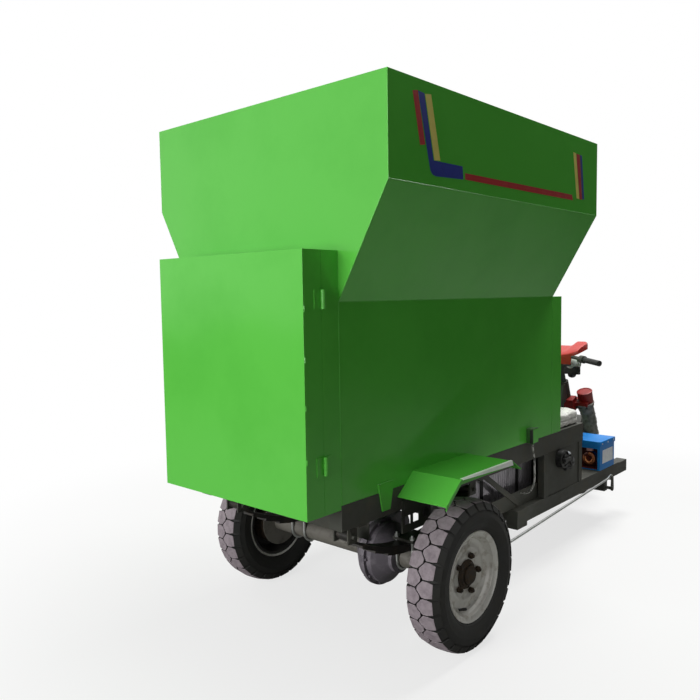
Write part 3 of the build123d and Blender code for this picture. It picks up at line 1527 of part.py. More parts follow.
lamp_end = lamp_x + headlamp_depth
with BuildPart() as headlight:
    with BuildSketch(Plane.XZ):
        with BuildLine():
            Polyline(
                (lamp_x, lamp_axis[2]),
                (lamp_x, lamp_axis[2] + 0.55 * headlamp_radius),
                (lamp_x + 0.35 * headlamp_depth, lamp_axis[2] + headlamp_radius),
                (lamp_end, lamp_axis[2] + headlamp_radius),
                (lamp_end, lamp_axis[2] + headlamp_radius - bezel),
                (lamp_end - lens_recess, lamp_axis[2] + headlamp_radius - bezel),
                (lamp_end - lens_recess, lamp_axis[2]),
                close=True,
            )
        make_face()
    revolve(axis=Axis((lamp_x, 0, lamp_axis[2]), (1, 0, 0)))
    lens_back = (lamp_end - lens_recess + seat_gap, 0, lamp_axis[2])
    lens_front = (lamp_end - lens_recess / 3, 0, lamp_axis[2])
    rod(lens_back, lens_front, headlamp_radius - bezel - seat_gap)
    horn_z = lamp_axis[2] - headlamp_radius - 0.8 * horn_radius
    horn_x = lamp_x + 0.4 * headlamp_depth
    rod((horn_x - horn_depth / 2, 0, horn_z), (horn_x + horn_depth / 2, 0, horn_z), horn_radius)
finish(headlight, "headlight")

# Foot brake: pedal on its cross shaft and the rod to the rear brake arm
crank_face = -rod_side + eye_thickness / 2 + running_gap
crank_pin = (pedal_pivot[0], pedal_pivot_height + crank_length)
pedal_tip = (pedal_pivot[0] + pedal_reach, pedal_pivot_height + pedal_rise)
with BuildPart() as brake_pedal:
    shaft_outer = (pedal_pivot[0], -crank_face - crank_thickness, pedal_pivot_height)
    rod(shaft_outer, (pedal_pivot[0], tab_y[1] + 4.0, pedal_pivot_height), pedal_shaft_radius)
    with BuildSketch(Plane.XZ.offset(crank_face)):
        with Locations(pedal_pivot):
            Circle(1.6 * pedal_shaft_radius)
        with Locations(crank_pin):
            Circle(2 * link_pin_radius)
        make_hull()
    extrude(amount=crank_thickness)
    crank_pin_start = (crank_pin[0], -crank_face, crank_pin[1])
    rod(crank_pin_start, (crank_pin[0], rod_side + eye_thickness, crank_pin[1]), link_pin_radius)
    with BuildSketch(Plane.XZ.offset(-pedal_side - pedal_half)):
        with Locations(pedal_pivot, pedal_tip):
            Circle(arm_half_width)
        make_hull()
    extrude(amount=2 * pedal_half)
    with BuildSketch(Plane.XZ.offset(-pedal_side - pedal_half)):
        with Locations(pedal_pivot):
            Circle(1.6 * pedal_shaft_radius)
    extrude(amount=2 * pedal_half)
    pad_start = (pedal_tip[0], pedal_side - pad_half, pedal_tip[1])
    rod(pad_start, (pedal_tip[0], pedal_side + pad_half, pedal_tip[1]), pad_radius)
finish(brake_pedal, "brake_pedal")

eye_plane = Plane.XZ.offset(-rod_side - eye_thickness / 2)
rear_eye = (
    (brake_arm[0] - pedal_stroke - eye_radius, brake_arm[1]),
    (brake_arm[0] + eye_radius, brake_arm[1]),
)
with BuildPart() as brake_rod:
    with BuildSketch(eye_plane):
        with Locations(*rear_eye):
            Circle(eye_radius)
        make_hull()
    extrude(amount=eye_thickness)
    rod_start = (rear_eye[1][0] + eye_radius / 2, rod_side, brake_arm[1])
    rod(rod_start, (crank_pin[0] - 0.8 * eye_tongue, rod_side, crank_pin[1]), rod_radius)
    with BuildSketch(eye_plane):
        with Locations(crank_pin):
            Circle(eye_radius)
        with Locations((crank_pin[0] - eye_tongue, crank_pin[1])):
            Circle(1.2 * rod_radius)
        make_hull()
    extrude(amount=eye_thickness)
    with BuildSketch(eye_plane.offset(-rod_radius)):
        with Locations(crank_pin):
            Circle(link_pin_radius + eye_play)
    extrude(amount=eye_thickness + 2 * rod_radius, mode=Mode.SUBTRACT)
    with BuildSketch(eye_plane.offset(-rod_radius)):
        with Locations((brake_arm[0] - pedal_stroke, brake_arm[1]), brake_arm):
            Circle(link_pin_radius + eye_play)
        make_hull()
    extrude(amount=eye_thickness + 2 * rod_radius, mode=Mode.SUBTRACT)
finish(brake_rod, "brake_rod")
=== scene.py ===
"""Looks for a three-wheeled electric feed cart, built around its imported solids."""
import json
import logging
import math
from dataclasses import dataclass
from enum import Enum
from typing import Optional, Sequence

import bmesh
import bpy
from mathutils import Matrix, Vector, noise


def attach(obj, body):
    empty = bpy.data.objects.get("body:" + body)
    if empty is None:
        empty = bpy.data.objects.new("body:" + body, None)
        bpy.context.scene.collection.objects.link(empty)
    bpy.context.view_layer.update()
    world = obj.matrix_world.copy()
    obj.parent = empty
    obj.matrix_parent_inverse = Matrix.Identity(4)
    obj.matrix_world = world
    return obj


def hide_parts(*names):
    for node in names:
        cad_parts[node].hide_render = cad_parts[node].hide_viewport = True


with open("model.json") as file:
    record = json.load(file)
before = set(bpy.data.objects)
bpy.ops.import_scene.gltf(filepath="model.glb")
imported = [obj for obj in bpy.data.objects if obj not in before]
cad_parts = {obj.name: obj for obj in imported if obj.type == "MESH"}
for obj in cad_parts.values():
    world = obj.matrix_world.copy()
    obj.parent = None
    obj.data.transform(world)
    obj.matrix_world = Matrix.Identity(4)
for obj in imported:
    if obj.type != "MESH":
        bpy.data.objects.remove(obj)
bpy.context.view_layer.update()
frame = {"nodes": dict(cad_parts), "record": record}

LOG = logging.getLogger("feed_cart")
MM = 0.001
Point = tuple[float, float, float]
Box = tuple[Point, Point]
Profile = Sequence[tuple[float, float]]
AHEAD: Point = (1.0, 0.0, 0.0)
LEFT: Point = (0.0, 1.0, 0.0)
RIGHT: Point = (0.0, -1.0, 0.0)
UP: Point = (0.0, 0.0, 1.0)
DOWN: Point = (0.0, 0.0, -1.0)
# Where the solids have the wheels' centres and the end of the wire's clip, in millimetres.
REAR_WHEEL: Point = (-914.5, 535.0, 284.0)
FRONT_WHEEL: Point = (1331.5, 0.0, 250.0)
WIRE_EXIT: Point = (-100.0, -404.5, 632.0)
WHEEL_FACETS = 112
BODY_OF = {node: body for body, nodes in frame["record"]["behaviour"]["bodies"].items() for node in nodes}
SLOT_OF = {entry["node"]: entry["material_slot"] for entry in frame["record"]["subparts"]}


def linear(code: str) -> tuple[float, float, float, float]:
    """Turn an sRGB hex colour into linear values.

    Args:
        code: six hex digits, with or without a leading #.

    Returns:
        Linear red, green and blue with an alpha of one.
    """
    code = code.lstrip("#")
    channels = [int(code[i:i + 2], 16) / 255 for i in (0, 2, 4)]
    values = [c / 12.92 if c <= 0.04045 else ((c + 0.055) / 1.055) ** 2.4 for c in channels]
    return (values[0], values[1], values[2], 1.0)


def add_node(tree: bpy.types.NodeTree, kind: str, inputs: Optional[dict] = None,
             **settings: object) -> bpy.types.Node:
    """Add a node with its settings, input values and links.

    Args:
        tree: the node tree to add to.
        kind: the node's type name.
        inputs: input name or index to a value, or to the output socket that feeds it.
        settings: attributes of the node itself.

    Returns:
        The new node.
    """
    node = tree.nodes.new(kind)
    for key, value in settings.items():
        setattr(node, key, value)
    for key, value in (inputs or {}).items():
        socket = node.inputs[key]
        if isinstance(value, bpy.types.NodeSocket):
            tree.links.new(value, socket)
        else:
            socket.default_value = value
    return node


def blank_tree(owner: bpy.types.ID) -> bpy.types.NodeTree:
    """Turn on the nodes of a material or a world, and clear them.

    Args:
        owner: the material or the world.

    Returns:
        Its empty node tree.
    """
    owner.use_nodes = True
    owner.node_tree.nodes.clear()
    return owner.node_tree


def angles(count: int) -> list[float]:
    """Return equal steps once round, in radians."""
    return [2 * math.pi * i / count for i in range(count)]


def circle(middle: Vector, side: Vector, other: Vector, radius: float, count: int) -> list[Vector]:
    """Return the points of a circle, once round from one side towards the other."""
    return [middle + (side * math.cos(a) + other * math.sin(a)) * radius for a in angles(count)]


def ramp(value: float, start: float, length: float) -> float:
    """Return how far a value has gone from a start along a length, from 0 to 1."""
    return min(1.0, max(0.0, (value - start) / length))


class Grain(Enum):
    """How a surface was made, which sets the shape of its relief."""

    SPRAYED = "noise"
    CAST = "cast"
    BRUSHED = "brushed"
    CRINKLED = "crinkled"


@dataclass(frozen=True)
class Finish:
    """A material: what it is made of, its two tones, its gloss and its relief.

    Sizes are in millimetres on the real surface.
    """

    name: str
    colour: str
    soil: str
    soil_mm: float = 120.0
    soil_range: tuple[float, float] = (0.52, 0.78)
    roughness: tuple[float, float] = (0.35, 0.5)
    metallic: float = 0.0
    coat: float = 0.0
    ior: float = 1.5
    relief_mm: float = 2.0
    relief: float = 0.05
    grain: Grain = Grain.SPRAYED
    wave_mm: float = 0.0
    wave: float = 0.0

    def material(self) -> bpy.types.Material:
        """Make this finish as a node material, once.

        Returns:
            The material.
        """
        found = bpy.data.materials.get(self.name)
        if found:
            return found
        material = bpy.data.materials.new(self.name)
        tree = blank_tree(material)
        place = add_node(tree, "ShaderNodeTexCoord").outputs["Object"]
        patches = add_node(tree, "ShaderNodeTexNoise", {
            "Vector": place, "Scale": 1000 / self.soil_mm, "Detail": 5.0, "Roughness": 0.6})
        amount = add_node(tree, "ShaderNodeMapRange", {
            "Value": patches.outputs["Fac"], "From Min": self.soil_range[0], "From Max": self.soil_range[1]})
        tone = add_node(tree, "ShaderNodeMix", {
            "Factor": amount.outputs["Result"], "A": linear(self.colour), "B": linear(self.soil)},
            data_type="RGBA")
        gloss = add_node(tree, "ShaderNodeMapRange", {
            "Value": patches.outputs["Fac"], "From Min": 0.3, "From Max": 0.7,
            "To Min": self.roughness[0], "To Max": self.roughness[1]})
        shader = add_node(tree, "ShaderNodeBsdfPrincipled", {
            "Base Color": tone.outputs[2], "Roughness": gloss.outputs["Result"], "Metallic": self.metallic,
            "IOR": self.ior, "Coat Weight": self.coat, "Coat Roughness": 0.06,
            "Normal": self.normal(tree, place)})
        add_node(tree, "ShaderNodeOutputMaterial", {"Surface": shader.outputs["BSDF"]})
        return material

    def normal(self, tree: bpy.types.NodeTree, place: bpy.types.NodeSocket) -> bpy.types.NodeSocket:
        """Add the relief of the surface.

        Args:
            tree: the material's node tree.
            place: the output that gives the point on the surface.

        Returns:
            The output that carries the bumped normal.
        """
        stretch = {Grain.BRUSHED: (1.0, 12.0, 1.0)}.get(self.grain, (1.0, 1.0, 1.0))
        turned = add_node(tree, "ShaderNodeMapping", {"Vector": place, "Scale": stretch})
        if self.grain is Grain.CRINKLED:
            fine = add_node(tree, "ShaderNodeTexNoise", {
                "Vector": turned.outputs["Vector"], "Scale": 1000 / self.relief_mm, "Detail": 2.0,
                "Distortion": 2.5}, noise_type="RIDGED_MULTIFRACTAL")
        else:
            detail = 6.0 if self.grain is Grain.CAST else 1.5
            fine = add_node(tree, "ShaderNodeTexNoise", {
                "Vector": turned.outputs["Vector"], "Scale": 1000 / self.relief_mm, "Detail": detail})
        bump = add_node(tree, "ShaderNodeBump", {
            "Height": fine.outputs["Fac"], "Distance": self.relief * MM, "Strength": 1.0})
        if self.wave:
            swell = add_node(tree, "ShaderNodeTexNoise", {
                "Vector": place, "Scale": 1000 / self.wave_mm, "Detail": 1.0, "Roughness": 0.3})
            bump = add_node(tree, "ShaderNodeBump", {
                "Height": swell.outputs["Fac"], "Distance": self.wave * MM, "Strength": 1.0,
                "Normal": bump.outputs["Normal"]})
        return bump.outputs["Normal"]


# Stoving enamel sprayed on rolled sheet: a clear gloss with slight orange peel, over panels that are never
# quite flat.
GREEN_ENAMEL = Finish(
    "green_stoving_enamel", "#5cc046", "#52b63c", 420.0, (0.45, 0.8), (0.14, 0.24), ior=1.42,
    relief_mm=3.5, relief=0.004, wave_mm=340.0, wave=5.0)
# Near-white on the fenders' turned-over edges: a painted highlight along the glossy green lip.
PAINTED_HIGHLIGHT_EDGE = Finish(
    "painted_highlight_edge", "#f1f5ee", "#cfe3c8", 260.0, (0.42, 0.6), (0.4, 0.55), relief_mm=4.0, relief=0.03)
# Chassis black brushed over mill scale: satin, with a brown cast of dust.
CHASSIS_BLACK = Finish(
    "chassis_black_paint", "#393a33", "#47443a", 70.0, (0.5, 0.75), (0.5, 0.68), relief_mm=5.0, relief=0.12)
# Sand-cast iron under thin black paint: pitted, half dull, with grey where it has been handled.
CAST_BLACK = Finish(
    "painted_cast_iron", "#635e65", "#7d777e", 40.0, (0.45, 0.7), (0.38, 0.6), relief_mm=4.0, relief=0.35,
    grain=Grain.CAST)
# Steel tube with worn grey primer.
AXLE_GREY = Finish(
    "grey_primed_steel", "#6c6962", "#4d4942", 60.0, (0.5, 0.72), (0.45, 0.65), relief_mm=6.0, relief=0.15)
# Zinc plating: pale, bluish, slightly cloudy.
ZINC = Finish(
    "zinc_plated_steel", "#d6d8d6", "#aeb0ab", 18.0, (0.4, 0.75), (0.3, 0.48), metallic=1.0, relief_mm=3.0,
    relief=0.05)
# Spring steel, oiled and dusty.
SPRING_STEEL = Finish(
    "oiled_spring_steel", "#2f2d2b", "#4b4238", 45.0, (0.48, 0.72), (0.45, 0.65), metallic=0.4, relief_mm=5.0,
    relief=0.15)
# Aluminium paint on a pressed steel wheel.
RIM_SILVER = Finish(
    "aluminium_wheel_paint", "#e2e0da", "#a79f90", 40.0, (0.5, 0.72), (0.3, 0.46), metallic=0.15,
    relief_mm=3.0, relief=0.06)
# Near-black on the inside of the wheel's barrel and the back of its disc, mottled a little lighter.
DARK_WHEEL_LINING = Finish(
    "near_black_wheel_lining", "#1c1c1a", "#2b2924", 30.0, (0.45, 0.7), (0.6, 0.8), relief_mm=4.0, relief=0.3,
    grain=Grain.CAST)
# Bare hub iron with brown rust and old grease.
HUB_RUST = Finish(
    "rusted_hub_iron", "#231b12", "#3d2e1b", 14.0, (0.42, 0.66), (0.6, 0.85), metallic=0.2, relief_mm=3.0,
    relief=0.5, grain=Grain.CAST)
# Tyre sidewall: moulded carbon rubber, faintly olive with dust.
SIDEWALL = Finish(
    "moulded_sidewall_rubber", "#171715", "#24231e", 80.0, (0.45, 0.75), (0.62, 0.8),
    relief_mm=2.5, relief=0.08)
# The outer faces of the tread blocks, paler than the rest of the rubber.
TREAD = Finish(
    "pale_tread_face_rubber", "#978c92", "#7c7178", 22.0, (0.4, 0.75), (0.75, 0.92), relief_mm=3.0, relief=0.2)
# Soft black rubber, dull where it is handled: the grip, the valves, the boots and the strap.
GRIP_RUBBER = Finish(
    "soft_grip_rubber", "#191919", "#262524", 30.0, (0.5, 0.8), (0.55, 0.7), relief_mm=2.0, relief=0.1)
# Dull dark green, a little mottled, on the clip's end and top: the body's green with painted shade.
CLIP_PAINTED_SHADE = Finish(
    "clip_green_painted_shade", "#2b591f", "#244d1a", 18.0, (0.45, 0.7), (0.6, 0.75), relief_mm=3.0, relief=0.1)
# Injection-moulded red ABS.
RED_ABS = Finish(
    "red_moulded_abs", "#c42b20", "#ab231a", 60.0, (0.5, 0.8), (0.34, 0.46), relief_mm=2.5, relief=0.015)
# The same moulding in a deeper red, as painted shade on the cups, and a little duller.
SHADED_RED_ABS = Finish(
    "red_abs_painted_shade", "#9c1f1a", "#831a15", 40.0, (0.45, 0.75), (0.38, 0.52), relief_mm=2.5, relief=0.02)
# Grey foam sheet wrapped round the fork legs for transport.
FOAM_WRAP = Finish(
    "grey_foam_wrap", "#93928c", "#6a6964", 24.0, (0.4, 0.7), (0.6, 0.8), relief_mm=18.0, relief=1.6,
    grain=Grain.CRINKLED)
# Clear polyethylene film drawn over the seat; its pale tone is partly painted sheen of the film's highlights.
FILM_SEAT = Finish(
    "film_over_vinyl", "#f2f0ea", "#bcb9b2", 44.0, (0.46, 0.76), (0.16, 0.32), coat=0.5,
    relief_mm=26.0, relief=2.2, grain=Grain.CRINKLED)
# Blue powder coat on the charger's folded case.
BLUE_COAT = Finish(
    "blue_powder_coat", "#1584da", "#1f90e6", 70.0, (0.5, 0.8), (0.42, 0.55), ior=1.38,
    relief_mm=2.0, relief=0.03)
# Battery cases: grey moulded polypropylene.
BATTERY_CASE = Finish(
    "grey_moulded_polypropylene", "#b3afb4", "#9a969b", 50.0, (0.45, 0.75), (0.45, 0.6),
    relief_mm=1.5, relief=0.05)
# Black phenolic moulding with a low gloss: the switch, the horn and the grommet.
PHENOLIC = Finish(
    "black_phenolic", "#161616", "#222120", 25.0, (0.5, 0.8), (0.3, 0.45), relief_mm=2.0, relief=0.03)
# Bright chromium plate: a mirror with a few dull patches.
CHROME = Finish(
    "chromium_plate", "#c9c9c7", "#b5b4b0", 40.0, (0.5, 0.8), (0.08, 0.16), metallic=1.0,
    relief_mm=2.0, relief=0.005)
# Extruded aluminium of the controller.
ALUMINIUM = Finish(
    "extruded_aluminium", "#9b9c9d", "#87888a", 40.0, (0.4, 0.8), (0.32, 0.45), metallic=1.0, relief_mm=1.2,
    relief=0.02, grain=Grain.BRUSHED)
# Black PVC, half dull: the leads' insulation and the straps.
PVC_BLACK = Finish(
    "black_pvc_sleeve", "#1b1b1b", "#2a2a28", 20.0, (0.5, 0.8), (0.4, 0.55), relief_mm=2.0, relief=0.03)
# A bundle of grey and dark wires held in thin clear sleeve: pale where it catches light, with dark gaps.
GREY_LOOM = Finish(
    "grey_wire_loom", "#bdbcb6", "#3a3936", 13.0, (0.44, 0.6), (0.25, 0.4), coat=0.3,
    relief_mm=5.0, relief=0.4)
# Self-adhesive vinyl of the stripes, thin and a little chalky.
RED_VINYL = Finish(
    "red_vinyl_film", "#b0262a", "#9c2024", 60.0, (0.5, 0.8), (0.35, 0.48), relief_mm=4.0, relief=0.02)
BLUE_VINYL = Finish(
    "blue_vinyl_film", "#1c2f8c", "#18277a", 60.0, (0.5, 0.8), (0.35, 0.48), relief_mm=4.0, relief=0.02)
YELLOW_VINYL = Finish(
    "yellow_vinyl_film", "#e3d96e", "#d2c862", 60.0, (0.5, 0.8), (0.35, 0.48), relief_mm=4.0, relief=0.02)
# Clear packing tape: glossy, with the grey of what lies under it.
CLEAR_TAPE = Finish(
    "clear_packing_tape", "#8a8880", "#77756e", 12.0, (0.4, 0.7), (0.12, 0.22), coat=0.4,
    relief_mm=8.0, relief=0.3)
# Pressed glass of the headlamp, ribbed inside.
LENS = Finish(
    "pressed_lamp_glass", "#c9d0d2", "#aab3b6", 6.0, (0.3, 0.7), (0.05, 0.1), coat=0.6, ior=1.52,
    relief_mm=7.0, relief=0.8)
# Pale mint on the back of the lamp: painted reflection of light on its glossy shell.
LAMP_SHELL_REFLECTION = Finish(
    "lamp_shell_painted_reflection", "#cfdccf", "#b4c4b6", 20.0, (0.4, 0.8), (0.2, 0.32), coat=0.3,
    relief_mm=3.0, relief=0.01)
# Enamelled copper winding wire.
COPPER = Finish(
    "enamelled_copper_wire", "#b07048", "#8a4f2e", 8.0, (0.4, 0.7), (0.25, 0.38), metallic=0.8, relief_mm=1.0,
    relief=0.03)
# Oxide-red varnish on the coil's core and the box's inside.
RED_CORE = Finish(
    "oxide_red_varnish", "#6e2a20", "#4a1813", 14.0, (0.4, 0.7), (0.4, 0.6), relief_mm=3.0, relief=0.2)
# Pink melamine of the terminal block.
PINK_BLOCK = Finish(
    "pink_melamine", "#d9a09c", "#c48a86", 20.0, (0.5, 0.8), (0.4, 0.55), relief_mm=2.0, relief=0.03)
# Satin aluminium, pale under soft light: the charger's blank plate and the switch's nuts.
PALE_PLATE = Finish(
    "blank_satin_plate", "#f2f5f8", "#dfe4ea", 30.0, (0.4, 0.8), (0.35, 0.5), metallic=0.05,
    relief_mm=2.0, relief=0.02)

NODE_FINISHES: dict[Finish, tuple[str, ...]] = {
    GREEN_ENAMEL: (
        "hopper_rear_wall", "hopper_front_wall", "hopper_left_side", "hopper_right_side", "body_left_side",
        "body_right_side", "front_cover", "rear_housing", "rear_door", "hinge_barrels", "fender_left",
        "fender_right", "discharge_outlet", "discharge_gate", "trough"),
    CHASSIS_BLACK: (
        "upper_rails", "lower_rails", "frame_ties", "foot_platform", "seat_box", "battery_tray",
        "steering_neck", "fork_tubes", "handlebar", "front_mudguard", "brake_pedal", "spring_clamps"),
    CAST_BLACK: ("diff_housing", "drive_motor", "auger_motor", "auger_bearings"),
    AXLE_GREY: ("axle_housing",),
    ZINC: ("spring_fittings", "brake_rod"),
    SPRING_STEEL: ("leaf_springs", "auger_screw", "auger_sprocket", "motor_sprocket", "drive_chain"),
    RIM_SILVER: ("rim_left", "rim_right", "front_rim"),
    HUB_RUST: ("hub_left", "hub_right"),
    SIDEWALL: ("tyre_left", "tyre_right", "front_tyre"),
    GRIP_RUBBER: ("throttle_grip",),
    RED_ABS: ("fork_shrouds", "dash_cowl"),
    FOAM_WRAP: ("fork_sleeves",),
    FILM_SEAT: ("seat_cushion",),
    BLUE_COAT: ("charger_case",),
    BATTERY_CASE: ("batteries",),
    PHENOLIC: ("power_switch", "switch_knob", "headlight"),
    CHROME: ("fork_sliders",),
    ALUMINIUM: ("motor_controller",),
    GREY_LOOM: ("wire_harness",),
}


def dress_node(name: str, finish: Finish) -> None:
    """Give a carried-over solid its finish.

    Args:
        name: the solid's node.
        finish: what it is made of.
    """
    solid = frame["nodes"][name]
    material = finish.material()
    if not solid.material_slots:
        solid.data.materials.append(material)
    for slot in solid.material_slots:
        slot.material = material


class Shape:
    """A mesh in millimetres that becomes one piece of the cart.

    Each step that adds to the mesh returns the shape, so that the next can follow on.
    """

    EDGE_ANGLE = 50.0
    EDGE_PROFILE = 0.6
    COPY_MERGE = 0.02
    EDGE_MERGE = 0.01
    LAST_MERGE = 0.002 * MM

    def __init__(self, name: str, finish: Finish, node: str) -> None:
        """Start an empty piece that rides with a solid, noting the solid's slot.

        Args:
            name: the piece's name.
            finish: what it is made of.
            node: the solid that it belongs to.
        """
        self.name = name
        self.finish = finish
        self.body = BODY_OF[node]
        self.slot = SLOT_OF[node]
        self.form = bmesh.new()

    def skin(self, rings: Sequence[Sequence[Vector]], around: bool = False) -> "Shape":
        """Skin a row of closed rings that have equal numbers of points.

        Args:
            rings: the rings in order.
            around: whether the last ring joins the first; otherwise both ends are capped.

        Returns:
            The shape.
        """
        rows = [[self.form.verts.new(point) for point in ring] for ring in rings]
        pairs = list(zip(rows, rows[1:]))
        if around:
            pairs.append((rows[-1], rows[0]))
        for low, high in pairs:
            for i, corner in enumerate(low):
                j = (i + 1) % len(low)
                self.form.faces.new((corner, low[j], high[j], high[i]))
        if not around:
            self.form.faces.new(rows[0][::-1])
            self.form.faces.new(rows[-1])
        return self

    def lathe(self, profile: Profile, centre: Point, axis: Point, count: int, around: bool = True) -> "Shape":
        """Turn a profile round an axis.

        Args:
            profile: radius and distance along the axis of each point.
            centre: where the axis starts.
            axis: its direction.
            count: points in each ring.
            around: whether the profile is a closed loop.

        Returns:
            The shape.
        """
        along = Vector(axis).normalized()
        side = along.orthogonal().normalized()
        other = along.cross(side)
        rings = [circle(Vector(centre) + along * rise, side, other, radius, count)
                 for radius, rise in profile]
        return self.skin(rings, around)

    def tube(self, path: Sequence[Point], radius: float, count: int = 12) -> "Shape":
        """Sweep a round bar along a path.

        Args:
            path: the points that it follows.
            radius: the bar's radius.
            count: points in each ring.

        Returns:
            The shape.
        """
        points = [Vector(point) for point in path]
        side = (points[1] - points[0]).orthogonal()
        rings = []
        for i, point in enumerate(points):
            ahead = (points[min(i + 1, len(points) - 1)] - points[max(i - 1, 0)]).normalized()
            side = (side - ahead * side.dot(ahead)).normalized()
            rings.append(circle(point, side, ahead.cross(side), radius, count))
        return self.skin(rings)

    def slab(self, outline: Profile, place: Matrix, depth: float) -> "Shape":
        """Raise a flat outline in a place's X and Y to a slab of some depth along its Z."""
        return self.skin([[place @ Vector((u, v, rise)) for u, v in outline] for rise in (0.0, depth)])

    def block(self, *boxes: Box) -> "Shape":
        """Add boxes.

        Args:
            boxes: the lowest and the highest corner of each.

        Returns:
            The shape.
        """
        for (x0, y0, z0), (x1, y1, z1) in boxes:
            outline = [(x0, y0), (x1, y0), (x1, y1), (x0, y1)]
            self.slab(outline, Matrix.Translation((0.0, 0.0, z0)), z1 - z0)
        return self

    def copy(self, node: str, span: Optional[tuple[float, float]] = None, inside: bool = True) -> "Shape":
        """Take over a solid's mesh, with its triangles merged to flat faces.

        Args:
            node: the solid.
            span: a range of X that picks some of its separate bodies; None takes them all.
            inside: whether the bodies in that range are the ones kept.

        Returns:
            The shape.
        """
        self.form.from_mesh(frame["nodes"][node].data)
        bmesh.ops.transform(self.form, matrix=Matrix.Scale(1 / MM, 4), verts=self.form.verts)
        if span:
            spare = [v for v in self.form.verts if (span[0] < v.co.x < span[1]) != inside]
            bmesh.ops.delete(self.form, geom=spare, context="VERTS")
        bmesh.ops.remove_doubles(self.form, verts=self.form.verts, dist=self.COPY_MERGE)
        bmesh.ops.dissolve_limit(
            self.form, angle_limit=math.radians(0.5), verts=self.form.verts, edges=self.form.edges)
        return self

    def soften(self, width: float, steps: int = 2) -> "Shape":
        """Round the edges where faces meet sharply.

        Args:
            width: how far the rounding reaches.
            steps: faces across the rounding.

        Returns:
            The shape.
        """
        bmesh.ops.remove_doubles(self.form, verts=self.form.verts, dist=self.EDGE_MERGE)
        bmesh.ops.recalc_face_normals(self.form, faces=self.form.faces)
        limit = math.radians(self.EDGE_ANGLE)
        edges = [e for e in self.form.edges if len(e.link_faces) == 2 and e.calc_face_angle(0.0) > limit]
        bmesh.ops.bevel(
            self.form, geom=edges, offset=width, segments=steps, profile=self.EDGE_PROFILE, affect="EDGES",
            clamp_overlap=True)
        return self

    def mesh(self, sharp: float) -> bpy.types.Object:
        """Turn the mesh to metres and link it as an object.

        Args:
            sharp: the angle in degrees past which an edge shades sharp.

        Returns:
            The object, not yet riding on anything.
        """
        bmesh.ops.transform(self.form, matrix=Matrix.Scale(MM, 4), verts=self.form.verts)
        bmesh.ops.remove_doubles(self.form, verts=self.form.verts, dist=self.LAST_MERGE)
        bmesh.ops.recalc_face_normals(self.form, faces=self.form.faces)
        mesh = bpy.data.meshes.new(self.name)
        self.form.to_mesh(mesh)
        self.form.free()
        mesh.shade_smooth()
        mesh.set_sharp_from_angle(angle=math.radians(sharp))
        mesh.materials.append(self.finish.material())
        piece = bpy.data.objects.new(self.name, mesh)
        bpy.context.scene.collection.objects.link(piece)
        return piece

    def settle(self, piece: bpy.types.Object, nodes: Sequence[str]) -> bpy.types.Object:
        """Ride a finished object on its body, in place of any solids it stands for.

        Args:
            piece: the object.
            nodes: the solids that it replaces.

        Returns:
            The object.
        """
        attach(piece, self.body)
        if nodes:
            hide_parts(*nodes)
        LOG.info("built %s", self.name)
        return piece

    def place(self, *nodes: str, sharp: float = 35.0) -> bpy.types.Object:
        """Finish the piece in place of some solids, with edges past an angle in degrees shaded sharp."""
        return self.settle(self.mesh(sharp), nodes)

    def repeat(self, copies: "Copies", *nodes: str, sharp: float = 35.0) -> bpy.types.Object:
        """Finish the piece as many copies of its shape.

        Args:
            copies: how the shape is repeated.
            nodes: solids that it replaces.
            sharp: the angle in degrees past which an edge shades sharp.

        Returns:
            The finished object.
        """
        piece = self.mesh(sharp)
        copies.apply(piece, self.finish.material())
        return self.settle(piece, nodes)


